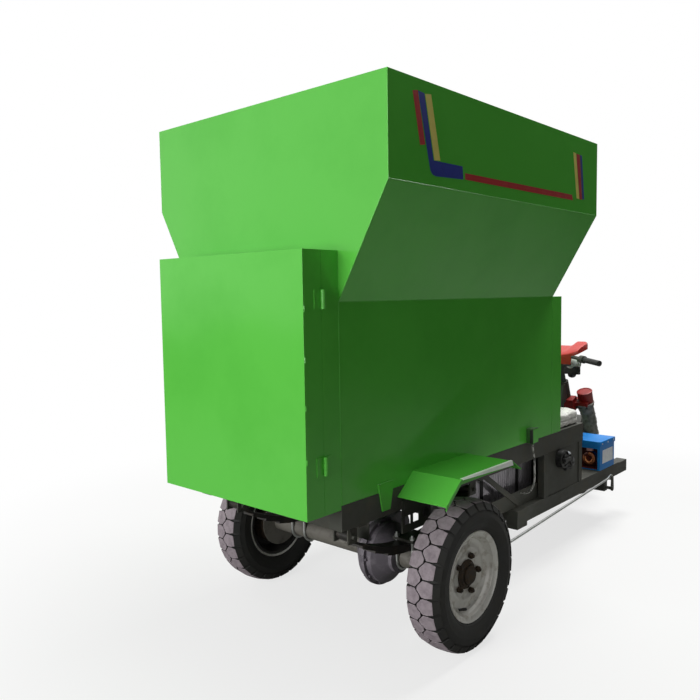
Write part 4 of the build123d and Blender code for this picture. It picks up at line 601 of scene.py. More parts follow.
@dataclass(frozen=True)
class Copies:
    """How a small shape is repeated along a row, round an axis, or both."""

    count: int
    start: Point = (0.0, 0.0, 0.0)
    step: Point = (0.0, 0.0, 0.0)
    axis: Point = (0.0, 0.0, 1.0)
    turn: float = 0.0

    @staticmethod
    def tree() -> bpy.types.NodeTree:
        """Build the node tree that makes the copies, once.

        Returns:
            The tree.
        """
        found = bpy.data.node_groups.get("row_and_ring")
        if found:
            return found
        tree = bpy.data.node_groups.new("row_and_ring", "GeometryNodeTree")
        given = {
            "Shape": "Geometry", "Count": "Int", "Start": "Vector", "Step": "Vector", "Axis": "Vector",
            "Turn": "Float", "Finish": "Material"}
        for name, kind in given.items():
            tree.interface.new_socket(name=name, in_out="INPUT", socket_type=f"NodeSocket{kind}")
        tree.interface.new_socket(name="Copies", in_out="OUTPUT", socket_type="NodeSocketGeometry")
        inputs = add_node(tree, "NodeGroupInput").outputs
        points = add_node(tree, "GeometryNodeMeshLine", {
            "Count": inputs["Count"], "Start Location": inputs["Start"], "Offset": inputs["Step"]},
            mode="OFFSET")
        index = add_node(tree, "GeometryNodeInputIndex")
        angle = add_node(
            tree, "ShaderNodeMath", {0: index.outputs[0], 1: inputs["Turn"]}, operation="MULTIPLY")
        turned = add_node(tree, "FunctionNodeAxisAngleToRotation", {
            "Axis": inputs["Axis"], "Angle": angle.outputs[0]})
        copies = add_node(tree, "GeometryNodeInstanceOnPoints", {
            "Points": points.outputs["Mesh"], "Instance": inputs["Shape"],
            "Rotation": turned.outputs["Rotation"]})
        real = add_node(tree, "GeometryNodeRealizeInstances", {"Geometry": copies.outputs["Instances"]})
        dressed = add_node(tree, "GeometryNodeSetMaterial", {
            "Geometry": real.outputs["Geometry"], "Material": inputs["Finish"]})
        add_node(tree, "NodeGroupOutput", {0: dressed.outputs["Geometry"]})
        return tree

    def apply(self, piece: bpy.types.Object, material: bpy.types.Material) -> None:
        """Replace an object's mesh with its copies.

        Args:
            piece: the object that holds one shape.
            material: the finish of every copy.
        """
        tree = self.tree()
        single = piece.data
        maker = piece.modifiers.new("copies", "NODES")
        maker.node_group = tree
        values = {
            "Count": self.count, "Start": [c * MM for c in self.start], "Step": [c * MM for c in self.step],
            "Axis": list(self.axis), "Turn": math.radians(self.turn), "Finish": material}
        for socket in tree.interface.items_tree:
            if socket.in_out == "INPUT" and socket.name in values:
                maker[socket.identifier] = values[socket.name]
        graph = bpy.context.evaluated_depsgraph_get()
        piece.data = bpy.data.meshes.new_from_object(piece.evaluated_get(graph))
        piece.data.name = piece.name
        piece.modifiers.remove(maker)
        bpy.data.meshes.remove(single)


def lay(origin: Point, x_way: Point, y_way: Point) -> Matrix:
    """Return the place of a flat outline.

    Args:
        origin: where its zero lies.
        x_way: the direction of its X.
        y_way: the direction of its Y.

    Returns:
        The matrix that takes the outline there.
    """
    across = Vector(x_way).normalized()
    up = Vector(y_way).normalized()
    turn = Matrix((across, up, across.cross(up))).transposed().to_4x4()
    return Matrix.Translation(origin) @ turn


@dataclass
class Tyre:
    """A tyre with two rows of interlocking blocks, as on small farm carts.

    A block's outline is in shares of the blocks' spacing round the tyre and of the tread's half width.
    """

    label: str
    node: str
    centre: Point
    radius: float = REAR_WHEEL[2]
    half_width: float = 72.5
    flange: float = 169.0
    rim_half: float = 50.0
    blocks: int = 28
    depth: float = 13.0
    face_depth: float = 1.8
    crown: float = 6.0
    shoulder: float = 33.0
    shoulder_in: float = 2.0
    tread_share: float = 0.76
    wall_share: float = 0.45
    outline: Profile = (
        (-0.11, -0.1), (0.11, -0.1), (0.465, 0.27), (0.465, 0.62), (0.39, 1.0), (-0.39, 1.0),
        (-0.465, 0.62), (-0.465, 0.27))

    def build(self) -> None:
        """Make the carcass and its tread."""
        self.carcass()
        self.tread()

    def carcass(self) -> None:
        """Turn the carcass with its bead ribs, sidewall rings and shoulders."""
        r, w, f, h = self.radius, self.half_width, self.flange, self.rim_half
        wall = f + self.wall_share * (r - f)
        half = [
            (f - 16, h - 10), (f - 4, h - 1), (f + 1, h + 3), (f + 7, h + 8), (f + 9, h + 10.5),
            (f + 12, h + 11), (f + 14, h + 12), (f + 20, h + 17), (wall - 13, w - 1.5), (wall, w),
            (wall + 3, w + 0.8), (wall + 6, w - 0.3), (r - 40, w - 3), (r - 33, w - 7), (r - 25, w - 14),
            (r - self.depth - 4, w - 26), (r - self.depth, w * 0.35)]
        profile = [(a, -b) for a, b in half] + half[::-1]
        shape = Shape(f"carcass_{self.label}", SIDEWALL, self.node)
        shape.lathe(profile, self.centre, LEFT, WHEEL_FACETS).place(self.node)

    def tread(self) -> None:
        """Make one pair of blocks, dark with a paler face, and repeat it round the tyre."""
        pitch = 2 * math.pi * self.radius / self.blocks
        foot = ((0.0, self.depth + 1.5), (0.0, self.face_depth))
        face = ((0.0, self.face_depth), (0.0, 1.4), (0.02, 0.0))
        ring = Copies(self.blocks, self.centre, axis=LEFT, turn=360 / self.blocks)
        for name, finish, layers in (("tread_blocks", SIDEWALL, foot), ("tread_faces", TREAD, face)):
            shape = Shape(f"{name}_{self.label}", finish, self.node)
            for side, shift in ((1, 0.0), (-1, pitch / 2)):
                self.block(shape, side, shift, pitch, layers)
            shape.repeat(ring, sharp=28.0)

    def block(self, shape: Shape, side: int, shift: float, pitch: float, layers: Profile) -> None:
        """Add one tread block, pointed towards the middle and sloped at the shoulder.

        Args:
            shape: the mesh to add to.
            side: which row, 1 or -1.
            shift: how far round the tyre it stands.
            pitch: the spacing of blocks in a row.
            layers: inset and depth of each of its rings.
        """
        wide = self.tread_share * self.half_width
        rings = []
        for inset, sink in layers:
            ring = []
            for u, v in self.outline:
                outer = v > 0.9
                reach = v * wide
                drop = self.crown * v * v + sink
                if outer and sink > self.face_depth:
                    reach, drop = self.half_width - self.shoulder_in, self.shoulder
                elif outer:
                    reach -= 2 * inset * wide
                angle = ((u - math.copysign(inset, u)) * pitch + shift) / self.radius
                rise = self.radius - drop
                ring.append(Vector((rise * math.sin(angle), side * reach, rise * math.cos(angle))))
            rings.append(ring)
        shape.skin(rings)


@dataclass
class Rim:
    """A pressed steel wheel: rolled flange, stepped barrel, dished disc, near-black lining inside, boss and
    valve.

    A profile gives radius and distance outwards from the wheel's middle, the valve stem's from its own foot.
    """

    label: str
    node: str
    centre: Point
    outward: int
    barrel: Profile = (
        (166.0, 54.0), (169.0, 56.5), (171.0, 54.0), (170.0, 50.5), (165.0, 47.5), (155.0, 45.5),
        (151.0, 30.0), (144.0, 24.0), (138.0, 8.0), (138.0, -12.0), (151.0, -30.0), (155.0, -45.5),
        (165.0, -47.5), (170.0, -50.5), (171.0, -54.0), (168.5, -56.0), (162.0, -51.0), (151.0, -48.0),
        (146.5, -31.0), (134.0, -13.0), (134.0, 9.0), (140.0, 26.0), (146.0, 31.5), (147.0, 36.0),
        (150.0, 47.0), (161.0, 50.5))
    disc: Profile = (
        (137.5, 4.0), (137.5, 22.0), (136.0, 24.5), (133.0, 24.0), (129.0, 19.0), (121.0, 17.0),
        (113.0, 18.0), (105.0, 21.5), (97.0, 22.5), (89.0, 20.5), (84.0, 17.0), (50.0, 16.5), (37.5, 16.5),
        (37.5, 11.5), (50.0, 11.5), (86.0, 12.0), (92.0, 15.0), (98.0, 17.0), (105.0, 16.0), (114.0, 12.5),
        (122.0, 11.5), (130.0, 14.0), (133.0, 10.0), (133.0, 4.0))
    lining: Profile = (
        (161.5, -51.6), (150.5, -48.6), (146.0, -31.3), (133.5, -13.2), (133.5, 3.0), (130.0, 13.2),
        (122.0, 10.7), (114.0, 11.7), (105.0, 15.2), (98.0, 16.2), (92.0, 14.2), (86.0, 11.2), (56.0, 10.7))
    lining_depth: float = 1.0
    boss: Profile = (
        (38.5, 16.5), (54.0, 16.5), (56.0, 19.0), (54.0, 22.0), (47.0, 24.0), (44.0, 30.0), (38.5, 31.0))
    stem: Profile = (
        (0.0, 0.0), (7.5, 0.0), (7.0, 6.0), (5.0, 9.0), (4.6, 24.0), (5.6, 25.0), (5.6, 38.0), (4.4, 40.0),
        (0.0, 40.0))
    stem_foot: Point = (-58.0, 13.0, -122.0)
    stem_way: Point = (0.25, 1.0, 0.35)

    def build(self) -> None:
        """Make the rim, its near-black lining, its boss and its valve."""
        self.turned("pressed", RIM_SILVER, self.barrel, self.disc).place(self.node, sharp=50.0)
        back = [(r - self.lining_depth, y - self.lining_depth) for r, y in self.lining[::-1]]
        self.turned("dark_lining", DARK_WHEEL_LINING, [*self.lining, *back]).place(sharp=50.0)
        self.turned("boss", HUB_RUST, self.boss, count=48).place()
        foot, way = (Vector((x, self.outward * y, z)) for x, y, z in (self.stem_foot, self.stem_way))
        valve = Shape(f"valve_{self.label}", GRIP_RUBBER, self.node)
        valve.lathe(self.stem, Vector(self.centre) + foot, way, 16, around=False).place()

    def turned(self, name: str, finish: Finish, *profiles: Profile, count: int = WHEEL_FACETS) -> Shape:
        """Turn a piece of the wheel about the axle.

        Args:
            name: what it is called, before the wheel's own name.
            finish: what it is made of.
            profiles: its closed profiles.
            count: points in each ring.

        Returns:
            The shape.
        """
        shape = Shape(f"{name}_{self.label}", finish, self.node)
        for profile in profiles:
            shape.lathe([(r, self.outward * y) for r, y in profile], self.centre, LEFT, count)
        return shape


@dataclass
class SheetWork:
    """The painted solids that keep their shape and only get rounded edges, with how far they are rounded."""

    green_round: float = 1.3
    black_round: float = 2.4
    left_plain: tuple[str, ...] = (
        "hinge_barrels", "fork_tubes", "handlebar", "front_mudguard", "brake_pedal", "spring_clamps")

    def build(self) -> None:
        """Copy each solid with its edges rounded."""
        for finish, width in ((GREEN_ENAMEL, self.green_round), (CHASSIS_BLACK, self.black_round)):
            for node in NODE_FINISHES[finish]:
                if node not in self.left_plain:
                    Shape(f"{node}_folded", finish, node).copy(node).soften(width).place(node, sharp=15.0)


@dataclass
class Hopper:
    """What is added to the hopper's sheets: dressed seams and plain vinyl stripes.

    A stripe's outline is in X and Z on the right upper wall.
    """

    rear: float = -1419.5
    front: float = 136.5
    half_top: float = 600.0
    half_low: float = 385.5
    top: float = 2018.0
    kink: float = 1689.0
    neck: float = 1315.0
    foot: float = 636.0
    seam: float = 1.7
    film: float = 0.35
    red: tuple[Profile, ...] = (
        ((-1293, 1974), (-1266, 1980), (-1227, 1816), (-1255, 1811)),
        ((-991, 1753), (-129, 1760), (-119, 1737), (-991, 1731)),
        ((-88, 1942), (-54, 1942), (-25, 1748), (-51, 1747)))
    blue: tuple[Profile, ...] = (
        ((-1264, 1979), (-1230, 1977), (-1181, 1772), (-1007, 1774), (-1003, 1730), (-1169, 1722),
         (-1187, 1726), (-1200, 1738)),
        ((-51, 1942), (-30, 1941), (-2, 1751), (-22, 1749)))
    yellow: tuple[Profile, ...] = (
        ((-1226, 1976), (-1193, 1981), (-1142, 1776), (-1176, 1773)),
        ((-120, 1945), (-91, 1943), (-54, 1748), (-82, 1749)))

    def build(self) -> None:
        """Make the seams and the stripes."""
        self.seams()
        self.stripes()

    def seams(self) -> None:
        """Run a dressed weld down each corner and along each fold."""
        shape = Shape("hopper_corner_seams", GREEN_ENAMEL, "hopper_rear_wall")
        inset = self.seam / 2
        for x in (self.rear + inset, self.front - inset):
            for side in (-1, 1):
                wide, low = side * (self.half_top - inset), side * (self.half_low - inset)
                shape.tube([(x, wide, self.top - inset), (x, wide, self.kink), (x, low, self.neck),
                            (x, low, self.foot)], self.seam)
        for side in (-1, 1):
            for wide, rise in ((self.half_top, self.kink), (self.half_low, self.neck)):
                y = side * (wide - inset)
                shape.tube([(self.rear + 2, y, rise), (self.front - 2, y, rise)], self.seam)
        shape.place()

    def stripes(self) -> None:
        """Lay the stripes on the right upper wall."""
        wall = lay((0.0, -self.half_top, 0.0), AHEAD, UP)
        for name, finish, outlines in (
                ("red_stripes", RED_VINYL, self.red), ("blue_stripes", BLUE_VINYL, self.blue),
                ("yellow_stripes", YELLOW_VINYL, self.yellow)):
            shape = Shape(name, finish, "hopper_right_side")
            for outline in outlines:
                shape.slab(outline, wall, self.film)
            shape.place()


@dataclass
class HangingWire:
    """The wire that hangs from the clip on the body side and goes in over the battery tray."""

    node: str = "wire_harness"
    radius: float = 4.5
    length: float = 0.298
    route: tuple[Point, ...] = (
        WIRE_EXIT, (-100.0, -404.5, 604.0), (-88.0, -406.5, 560.0), (-94.0, -411.5, 500.0),
        (-96.0, -413.5, 440.0), (-106.0, -391.5, 380.0), (-106.0, -345.5, 380.0))

    def build(self) -> None:
        """Lay the wire on one smooth line."""
        line = bpy.data.curves.new("hanging_wire", "CURVE")
        line.dimensions = "3D"
        line.bevel_depth = self.radius * MM
        line.bevel_resolution = 4
        line.use_fill_caps = True
        spline = line.splines.new("NURBS")
        spline.points.add(len(self.route) - 1)
        for point, place in zip(spline.points, self.route):
            point.co = (*(c * MM for c in place), 1.0)
        spline.order_u = 3
        spline.use_endpoint_u = True
        spline.resolution_u = 16
        line.materials.append(GREY_LOOM.material())
        wire = bpy.data.objects.new("hanging_wire", line)
        bpy.context.scene.collection.objects.link(wire)
        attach(wire, BODY_OF[self.node])
        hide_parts(self.node)
        LOG.info("built hanging_wire")


@dataclass
class Seat:
    """The driver's cushion: a foam pad in vinyl, still in its film, painted pale partly as the film's sheen.

    The levels give each ring's height above the pad's foot and how far it stands in.
    """

    node: str = "seat_cushion"
    centre: Point = (374.5, 0.0, 635.0)
    half_depth: float = 135.0
    half_width: float = 381.5
    levels: Profile = (
        (0.0, 9.0), (8.0, 4.0), (30.0, 3.0), (34.0, 7.0), (38.0, 3.0), (60.0, 5.0), (68.0, 14.0),
        (72.0, 40.0))
    foot: float = 1.0
    points: int = 72
    corner: int = 9
    draw: float = 3.0
    voxel: float = 0.006
    pressure: float = 4.0
    frames: int = 20
    swell: float = 7.0
    rest: float = 0.6
    fold: float = 2.6
    fold_mm: Point = (46.0, 30.0, 24.0)
    fine_mm: Point = (17.0, 13.0, 12.0)
    edge_from: float = 0.8
    seam: float = 35.1
    seam_dip: float = 7.0
    seam_half: float = 5.0

    def build(self) -> None:
        """Make the pad, swell it, and crease its film."""
        shape = Shape("seat_pad", FILM_SEAT, self.node)
        shape.skin([[Vector((x, y, self.centre[2] + self.foot + rise)) for x, y in self.outline(inset)]
                    for rise, inset in self.levels])
        piece = shape.mesh(180.0)
        self.inflate(piece)
        self.crease(piece)
        shape.settle(piece, (self.node,))

    def outline(self, inset: float) -> list[tuple[float, float]]:
        """Return the pad's outline, round at the corners and drawn in between them.

        Args:
            inset: how far the outline stands inside the pad's largest one.

        Returns:
            The points, once round.
        """
        points = []
        for angle in angles(self.points):
            c, s = math.cos(angle), math.sin(angle)
            square = (abs(c) ** self.corner + abs(s) ** self.corner) ** (-1 / self.corner)
            pull = self.draw * (1 - abs(math.sin(2 * angle)) ** 0.6)
            points.append((self.centre[0] + c * square * (self.half_depth - inset - pull),
                           self.centre[1] + s * square * (self.half_width - inset - pull)))
        return points

    def inflate(self, piece: bpy.types.Object) -> None:
        """Swell the pad with cloth under air pressure, and keep it flat where it rests.

        Args:
            piece: the pad.
        """
        even = piece.modifiers.new("even", "REMESH")
        even.mode = "VOXEL"
        even.voxel_size = self.voxel
        graph = bpy.context.evaluated_depsgraph_get()
        mesh = bpy.data.meshes.new_from_object(piece.evaluated_get(graph))
        piece.modifiers.remove(even)
        piece.data = mesh
        rest = [vertex.co.copy() for vertex in mesh.vertices]
        cloth = piece.modifiers.new("swell", "CLOTH")
        cloth.settings.use_pressure = True
        cloth.settings.uniform_pressure_force = self.pressure
        cloth.settings.effector_weights.gravity = 0.0
        cloth.point_cache.frame_start = 1
        cloth.point_cache.frame_end = self.frames
        for step in range(1, self.frames + 1):
            bpy.context.scene.frame_set(step)
        graph = bpy.context.evaluated_depsgraph_get()
        swollen = piece.evaluated_get(graph).to_mesh()
        floor = (self.centre[2] + self.rest) * MM
        for vertex, start, end in zip(mesh.vertices, rest, [v.co.copy() for v in swollen.vertices]):
            move = end - start
            if move.length > self.swell * MM:
                move = move.normalized() * self.swell * MM
            vertex.co = start + move
            vertex.co.z = max(vertex.co.z, floor)
        piece.evaluated_get(graph).to_mesh_clear()
        piece.modifiers.remove(cloth)
        bpy.context.scene.frame_set(1)

    def crease(self, piece: bpy.types.Object) -> None:
        """Press in the edge seam and raise the folds of the film.

        Args:
            piece: the pad.
        """
        mesh = piece.data
        mesh.shade_smooth()
        mesh.materials.clear()
        mesh.materials.append(FILM_SEAT.material())
        seam = (self.centre[2] + self.seam) * MM
        normals = [vertex.normal.copy() for vertex in mesh.vertices]
        for vertex, normal in zip(mesh.vertices, normals):
            if normal.z < -0.7:
                continue
            place = vertex.co / MM
            out = max(abs(place.x - self.centre[0]) / self.half_depth, abs(place.y) / self.half_width)
            ridge = 1 - abs(noise.noise(Vector([c / size for c, size in zip(place, self.fold_mm)])) * 2)
            fine = noise.noise(Vector([c / size for c, size in zip(place, self.fine_mm)]))
            rise = self.fold * (ridge ** 3 * (0.35 + 0.65 * out) + 0.25 * fine)
            off = (vertex.co.z - seam) / (self.seam_half * MM)
            dip = self.seam_dip * math.exp(-off ** 2) if out > self.edge_from else 0.0
            vertex.co += normal * (rise - dip) * MM


@dataclass
class Fork:
    """What dresses the steered fork: wrapped legs, red cups, the hood, the lamp and the horn.

    Along and ahead are measured from the front axle on the fork's rake, and the bridge and its ears from the
    cups' foot. A bridge block gives its rear, its front and its top. Lamp and horn profiles give radius and
    distance ahead.
    """

    axle: Point = FRONT_WHEEL
    rake: float = 21.6
    leg_side: float = 115.0
    wrap: tuple[float, float] = (165.0, 424.0)
    wrap_radius: float = 47.0
    wrap_bore: float = 28.0
    wrap_rows: int = 60
    wrap_points: int = 72
    wrap_slack: float = 8.5
    wrap_lap: float = 3.0
    wrap_bulge: float = 3.0
    wrap_crease: float = 3.0
    wrap_wave: float = 2.4
    wrap_end: float = 1.5
    flare_from: float = 0.72
    flare_in: tuple[float, float] = (9.0, 22.0)
    tapes: tuple[float, float] = (195.0, 416.0)
    cup: tuple[float, float] = (397.0, 45.0)
    cup_rise: float = 102.0
    bridge_half: float = 67.0
    bridge_foot: float = -8.0
    bridge: tuple[Point, ...] = ((-84.0, -20.0, 74.0), (-20.0, 22.0, 44.0))
    ear: Profile = ((22.0, -61.0), (22.0, -30.0), (47.0, -30.0), (47.0, -61.0))
    ear_span: tuple[float, float] = (66.0, 147.0)
    hood_half: float = 168.0
    hood_rear: tuple[float, float] = (929.0, 955.0)
    hood_front: tuple[float, float] = (1117.0, 1000.0)
    hood_steps: int = 48
    wing_from: float = 0.8
    wing_back: float = 49.0
    rear_rise: float = 32.0
    shoulder_rise: float = 28.0
    lip_depth: float = 40.0
    skirt_half: float = 126.0
    skirt_foot: float = 899.0
    wall: float = 4.0
    lamp: Point = (1186.7, 0.0, 874.4)
    lamp_facets: int = 72
    shell: Profile = (
        (0.0, 0.0), (15.0, 0.0), (25.0, 2.0), (35.0, 8.0), (42.5, 17.0), (46.5, 29.0), (47.5, 44.0),
        (47.5, 60.0), (43.0, 60.0), (41.5, 50.0), (0.0, 44.0))
    rim: Profile = (
        (43.0, 58.0), (47.0, 58.0), (48.0, 60.0), (48.0, 66.0), (46.0, 69.5), (43.5, 69.0), (42.0, 65.0))
    band: Profile = ((45.2, -1.6), (48.0, -1.6), (48.6, 0.0), (48.0, 1.6), (45.2, 1.6))
    bands: tuple[float, float] = (24.0, 46.0)
    lens: Profile = (
        (0.0, 66.0), (15.0, 68.0), (30.0, 68.5), (42.5, 66.0), (42.5, 63.0), (30.0, 64.5), (0.0, 62.0))
    horn: Point = (1195.0, 0.0, 807.0)
    horn_cup: Profile = (
        (0.0, 0.0), (14.0, 0.0), (19.0, 3.0), (20.0, 16.0), (24.0, 24.0), (24.0, 38.0), (21.0, 40.0),
        (19.0, 32.0), (0.0, 28.0))
    horn_box: Box = ((1191.0, -60.0, 809.0), (1213.0, 52.0, 859.0))

    def build(self) -> None:
        """Make every piece of the fork."""
        self.wraps()
        self.cups()
        self.hood()
        self.headlight()

    def at(self, along: float, ahead: float = 0.0, left: float = 0.0) -> Vector:
        """Return a point measured from the front axle along the fork, ahead of it and left."""
        s, c = math.sin(math.radians(self.rake)), math.cos(math.radians(self.rake))
        return Vector((self.axle[0] - along * s + ahead * c, left, self.axle[2] + along * c + ahead * s))

    def wraps(self) -> None:
        """Wind creased foam sheet round both legs, with its loose edge and a tape near each end."""
        shape = Shape("leg_wraps", FOAM_WRAP, "fork_sleeves")
        tapes = Shape("leg_wrap_tapes", CLEAR_TAPE, "fork_sleeves")
        low, high = self.wrap
        foot, bore = self.cup
        inside = ((high - 1.0, bore), (foot - 1.0, bore), (foot - 3.0, self.wrap_bore),
                  (low + 1.0, self.wrap_bore))
        rows, turns = self.wrap_rows, angles(self.wrap_points)
        tight, loose = self.wrap_radius - 2.2, self.wrap_radius + 0.8
        tape = [(loose, -5.0), (loose + 0.5, -4.5), (loose + 0.5, 4.5), (loose, 5.0), (tight, 5.0),
                (tight, -5.0)]
        for side in (-1, 1):
            rings = []
            for k in range(rows + 1):
                along = low + (high - low) * k / rows
                rings.append([self.leg_point(side, along, a, self.fold(side, k / rows, i / self.wrap_points))
                              for i, a in enumerate(turns)])
            for along, radius in inside:
                rings.append([self.leg_point(side, along, a, radius) for a in turns])
            shape.skin(rings, around=True)
            for along in self.tapes:
                tapes.lathe(tape, self.at(along, 0.0, side * self.leg_side), self.up(), 48)
        wraps = shape.place("fork_sleeves", sharp=70.0)
        tapes.place()

    def up(self) -> Vector:
        """Return the direction up the fork."""
        return self.at(1.0) - self.at(0.0)

    def leg_point(self, side: int, along: float, angle: float, radius: float) -> Vector:
        """Return a point round one leg."""
        return self.at(along, radius * math.cos(angle), side * self.leg_side + radius * math.sin(angle))

    def fold(self, side: int, rise: float, turn: float) -> float:
        """Return the wrap's radius, with its spiral lap, the slanting creases between and its flared head.

        Args:
            side: which leg, 1 or -1.
            rise: how far up the wrap, from 0 to 1.
            turn: how far round it, from 0 to 1.

        Returns:
            The radius.
        """
        angle = 2 * math.pi * turn
        c, s = math.cos(angle), math.sin(angle)
        place = Vector((c * 1.5, s * 1.5 + side * 7, rise * 6 + 0.8 * s))
        crease = 1 - abs(noise.noise(place * 1.3)) * 2
        lap = self.wrap_lap * ((turn - 2.0 * rise) % 1.0)
        bulge = self.wrap_bulge * math.sin(math.pi * rise) ** 0.7
        radius = self.wrap_radius - self.wrap_slack + lap + bulge
        radius += self.wrap_wave * noise.noise(place) + self.wrap_crease * crease ** 5
        flare = ramp(rise, self.flare_from, 1 - self.flare_from)
        inward = self.flare_in[0] * max(0.0, -side * s) + self.flare_in[1] * max(0.0, -c) ** 0.6
        radius = max(radius, (self.cup[1] + 0.6) * flare) + flare * inward
        if rise in (0.0, 1.0):
            radius -= self.wrap_end
        return radius

    def cups(self) -> None:
        """Turn a flat-topped red cup over the head of each leg, with the cover and its ears between them."""
        # The cups' deeper red is painted shade.
        shape = Shape("moulded_cups", SHADED_RED_ABS, "fork_shrouds")
        foot, r = self.cup
        top = self.cup_rise
        cup = [
            (r - 8, 2.0), (r - 0.5, 2.0), (r, 6.0), (r + 1.0, top - 9), (r + 2.5, top - 7),
            (r + 2.5, top - 2), (r, top), (r - 5, top), (r - 7, top - 3), (0.0, top - 3), (0.0, top - 8),
            (r - 8, top - 8)]
        for side in (-1, 1):
            shape.lathe(cup, self.at(foot, 0.0, side * self.leg_side), self.up(), 64)
        for near, far, rise in self.bridge:
            corners = [(self.bridge_foot, near), (self.bridge_foot, far), (rise, far), (rise, near)]
            self.bar(shape, corners, -self.bridge_half, self.bridge_half)
        for side in (-1, 1):
            self.bar(shape, self.ear, *(side * y for y in self.ear_span))
        shape.place("fork_shrouds", sharp=40.0)

    def bar(self, shape: Shape, corners: Profile, start: float, end: float) -> None:
        """Add a bar across the fork, with its corners measured from the cups' foot."""
        shape.skin([[self.at(self.cup[0] + along, ahead, y) for along, ahead in corners]
                    for y in (start, end)])

    def hood(self) -> None:
        """Mould the red hood: a thin shell that climbs to the front, dished in the middle, with two wings."""
        half, steps = self.hood_half, self.hood_steps
        inner_stations = [half * (2 * k / steps - 1) for k in range(2, steps - 1)]
        rings = []
        for y in [-half, -half + 2.0, *inner_stations, half - 2.0, half]:
            outer = self.hood_line(y)
            inner = self.hood_line(y, self.wall)
            if abs(y) > self.skirt_half + 3.0:
                inner = [outer[0].lerp(outer[-1], (i + 0.5) / len(outer)) for i in range(len(outer))]
            rings.append(outer + inner[::-1])
        Shape("moulded_hood", RED_ABS, "dash_cowl").skin(rings).place("dash_cowl", sharp=50.0)

    def hood_line(self, y: float, wall: float = 0.0) -> list[Vector]:
        """Return the hood's line from the rear skirt over the top to the front lip.

        Args:
            y: where across the hood.
            wall: how far inside the outer face.

        Returns:
            The points, from the rear.
        """
        share = abs(y) / self.hood_half
        wing = ramp(share, self.wing_from, 1 - self.wing_from)
        lift = ramp(share, 0.25, 0.3)
        shoulder = lift * lift * (3 - 2 * lift)
        skirt = ramp(abs(y), self.skirt_half - 6.0, 8.0)
        rear_x, rear_z = self.hood_rear[0] - 5.0 * wing, self.hood_rear[1] + self.rear_rise * share ** 2
        front_x = self.hood_front[0] - self.wing_back * wing ** 2
        front_z = self.hood_front[1] + self.shoulder_rise * shoulder - 9.0 * wing
        low = self.skirt_foot + (rear_z - 24.0 - self.skirt_foot) * skirt
        lip = front_z - self.lip_depth + 6.0 * wing
        line = [(rear_x + wall, low), (rear_x + wall, rear_z - 10.0),
                (rear_x + wall + 2.5, rear_z - 3.5 - 0.6 * wall), (rear_x + 9.0 + wall, rear_z + 1.5 - wall)]
        for part in (0.3, 0.6, 0.85):
            line.append((rear_x + (front_x - rear_x) * part,
                         rear_z + (front_z - rear_z) * part + 3.0 - 1.1 * wall))
        line += [(front_x - 9.0 - wall, front_z - wall), (front_x - 2.5 - wall, front_z - 4.0 - 0.6 * wall),
                 (front_x - wall, front_z - 11.0), (front_x - wall, lip)]
        return [Vector((x, y, z)) for x, z in line]

    def headlight(self) -> None:
        """Turn the lamp's shell, pale as painted reflection, its bright rim, bands and lens, and the black
        horn below it.
        """
        node, count = "headlight", self.lamp_facets
        shell = Shape("lamp_shell", LAMP_SHELL_REFLECTION, node)
        shell.lathe(self.shell, self.lamp, AHEAD, count, around=False).place(node, sharp=40.0)
        rim = Shape("lamp_rim", CHROME, node).lathe(self.rim, self.lamp, AHEAD, count)
        for back in self.bands:
            rim.lathe([(radius, back + off) for radius, off in self.band], self.lamp, AHEAD, count)
        rim.place()
        Shape("lamp_lens", LENS, node).lathe(self.lens, self.lamp, AHEAD, count, around=False).place()
        horn = Shape("horn_body", PHENOLIC, node).lathe(self.horn_cup, self.horn, AHEAD, 48, around=False)
        horn.block(self.horn_box).soften(7.0, steps=3).place()


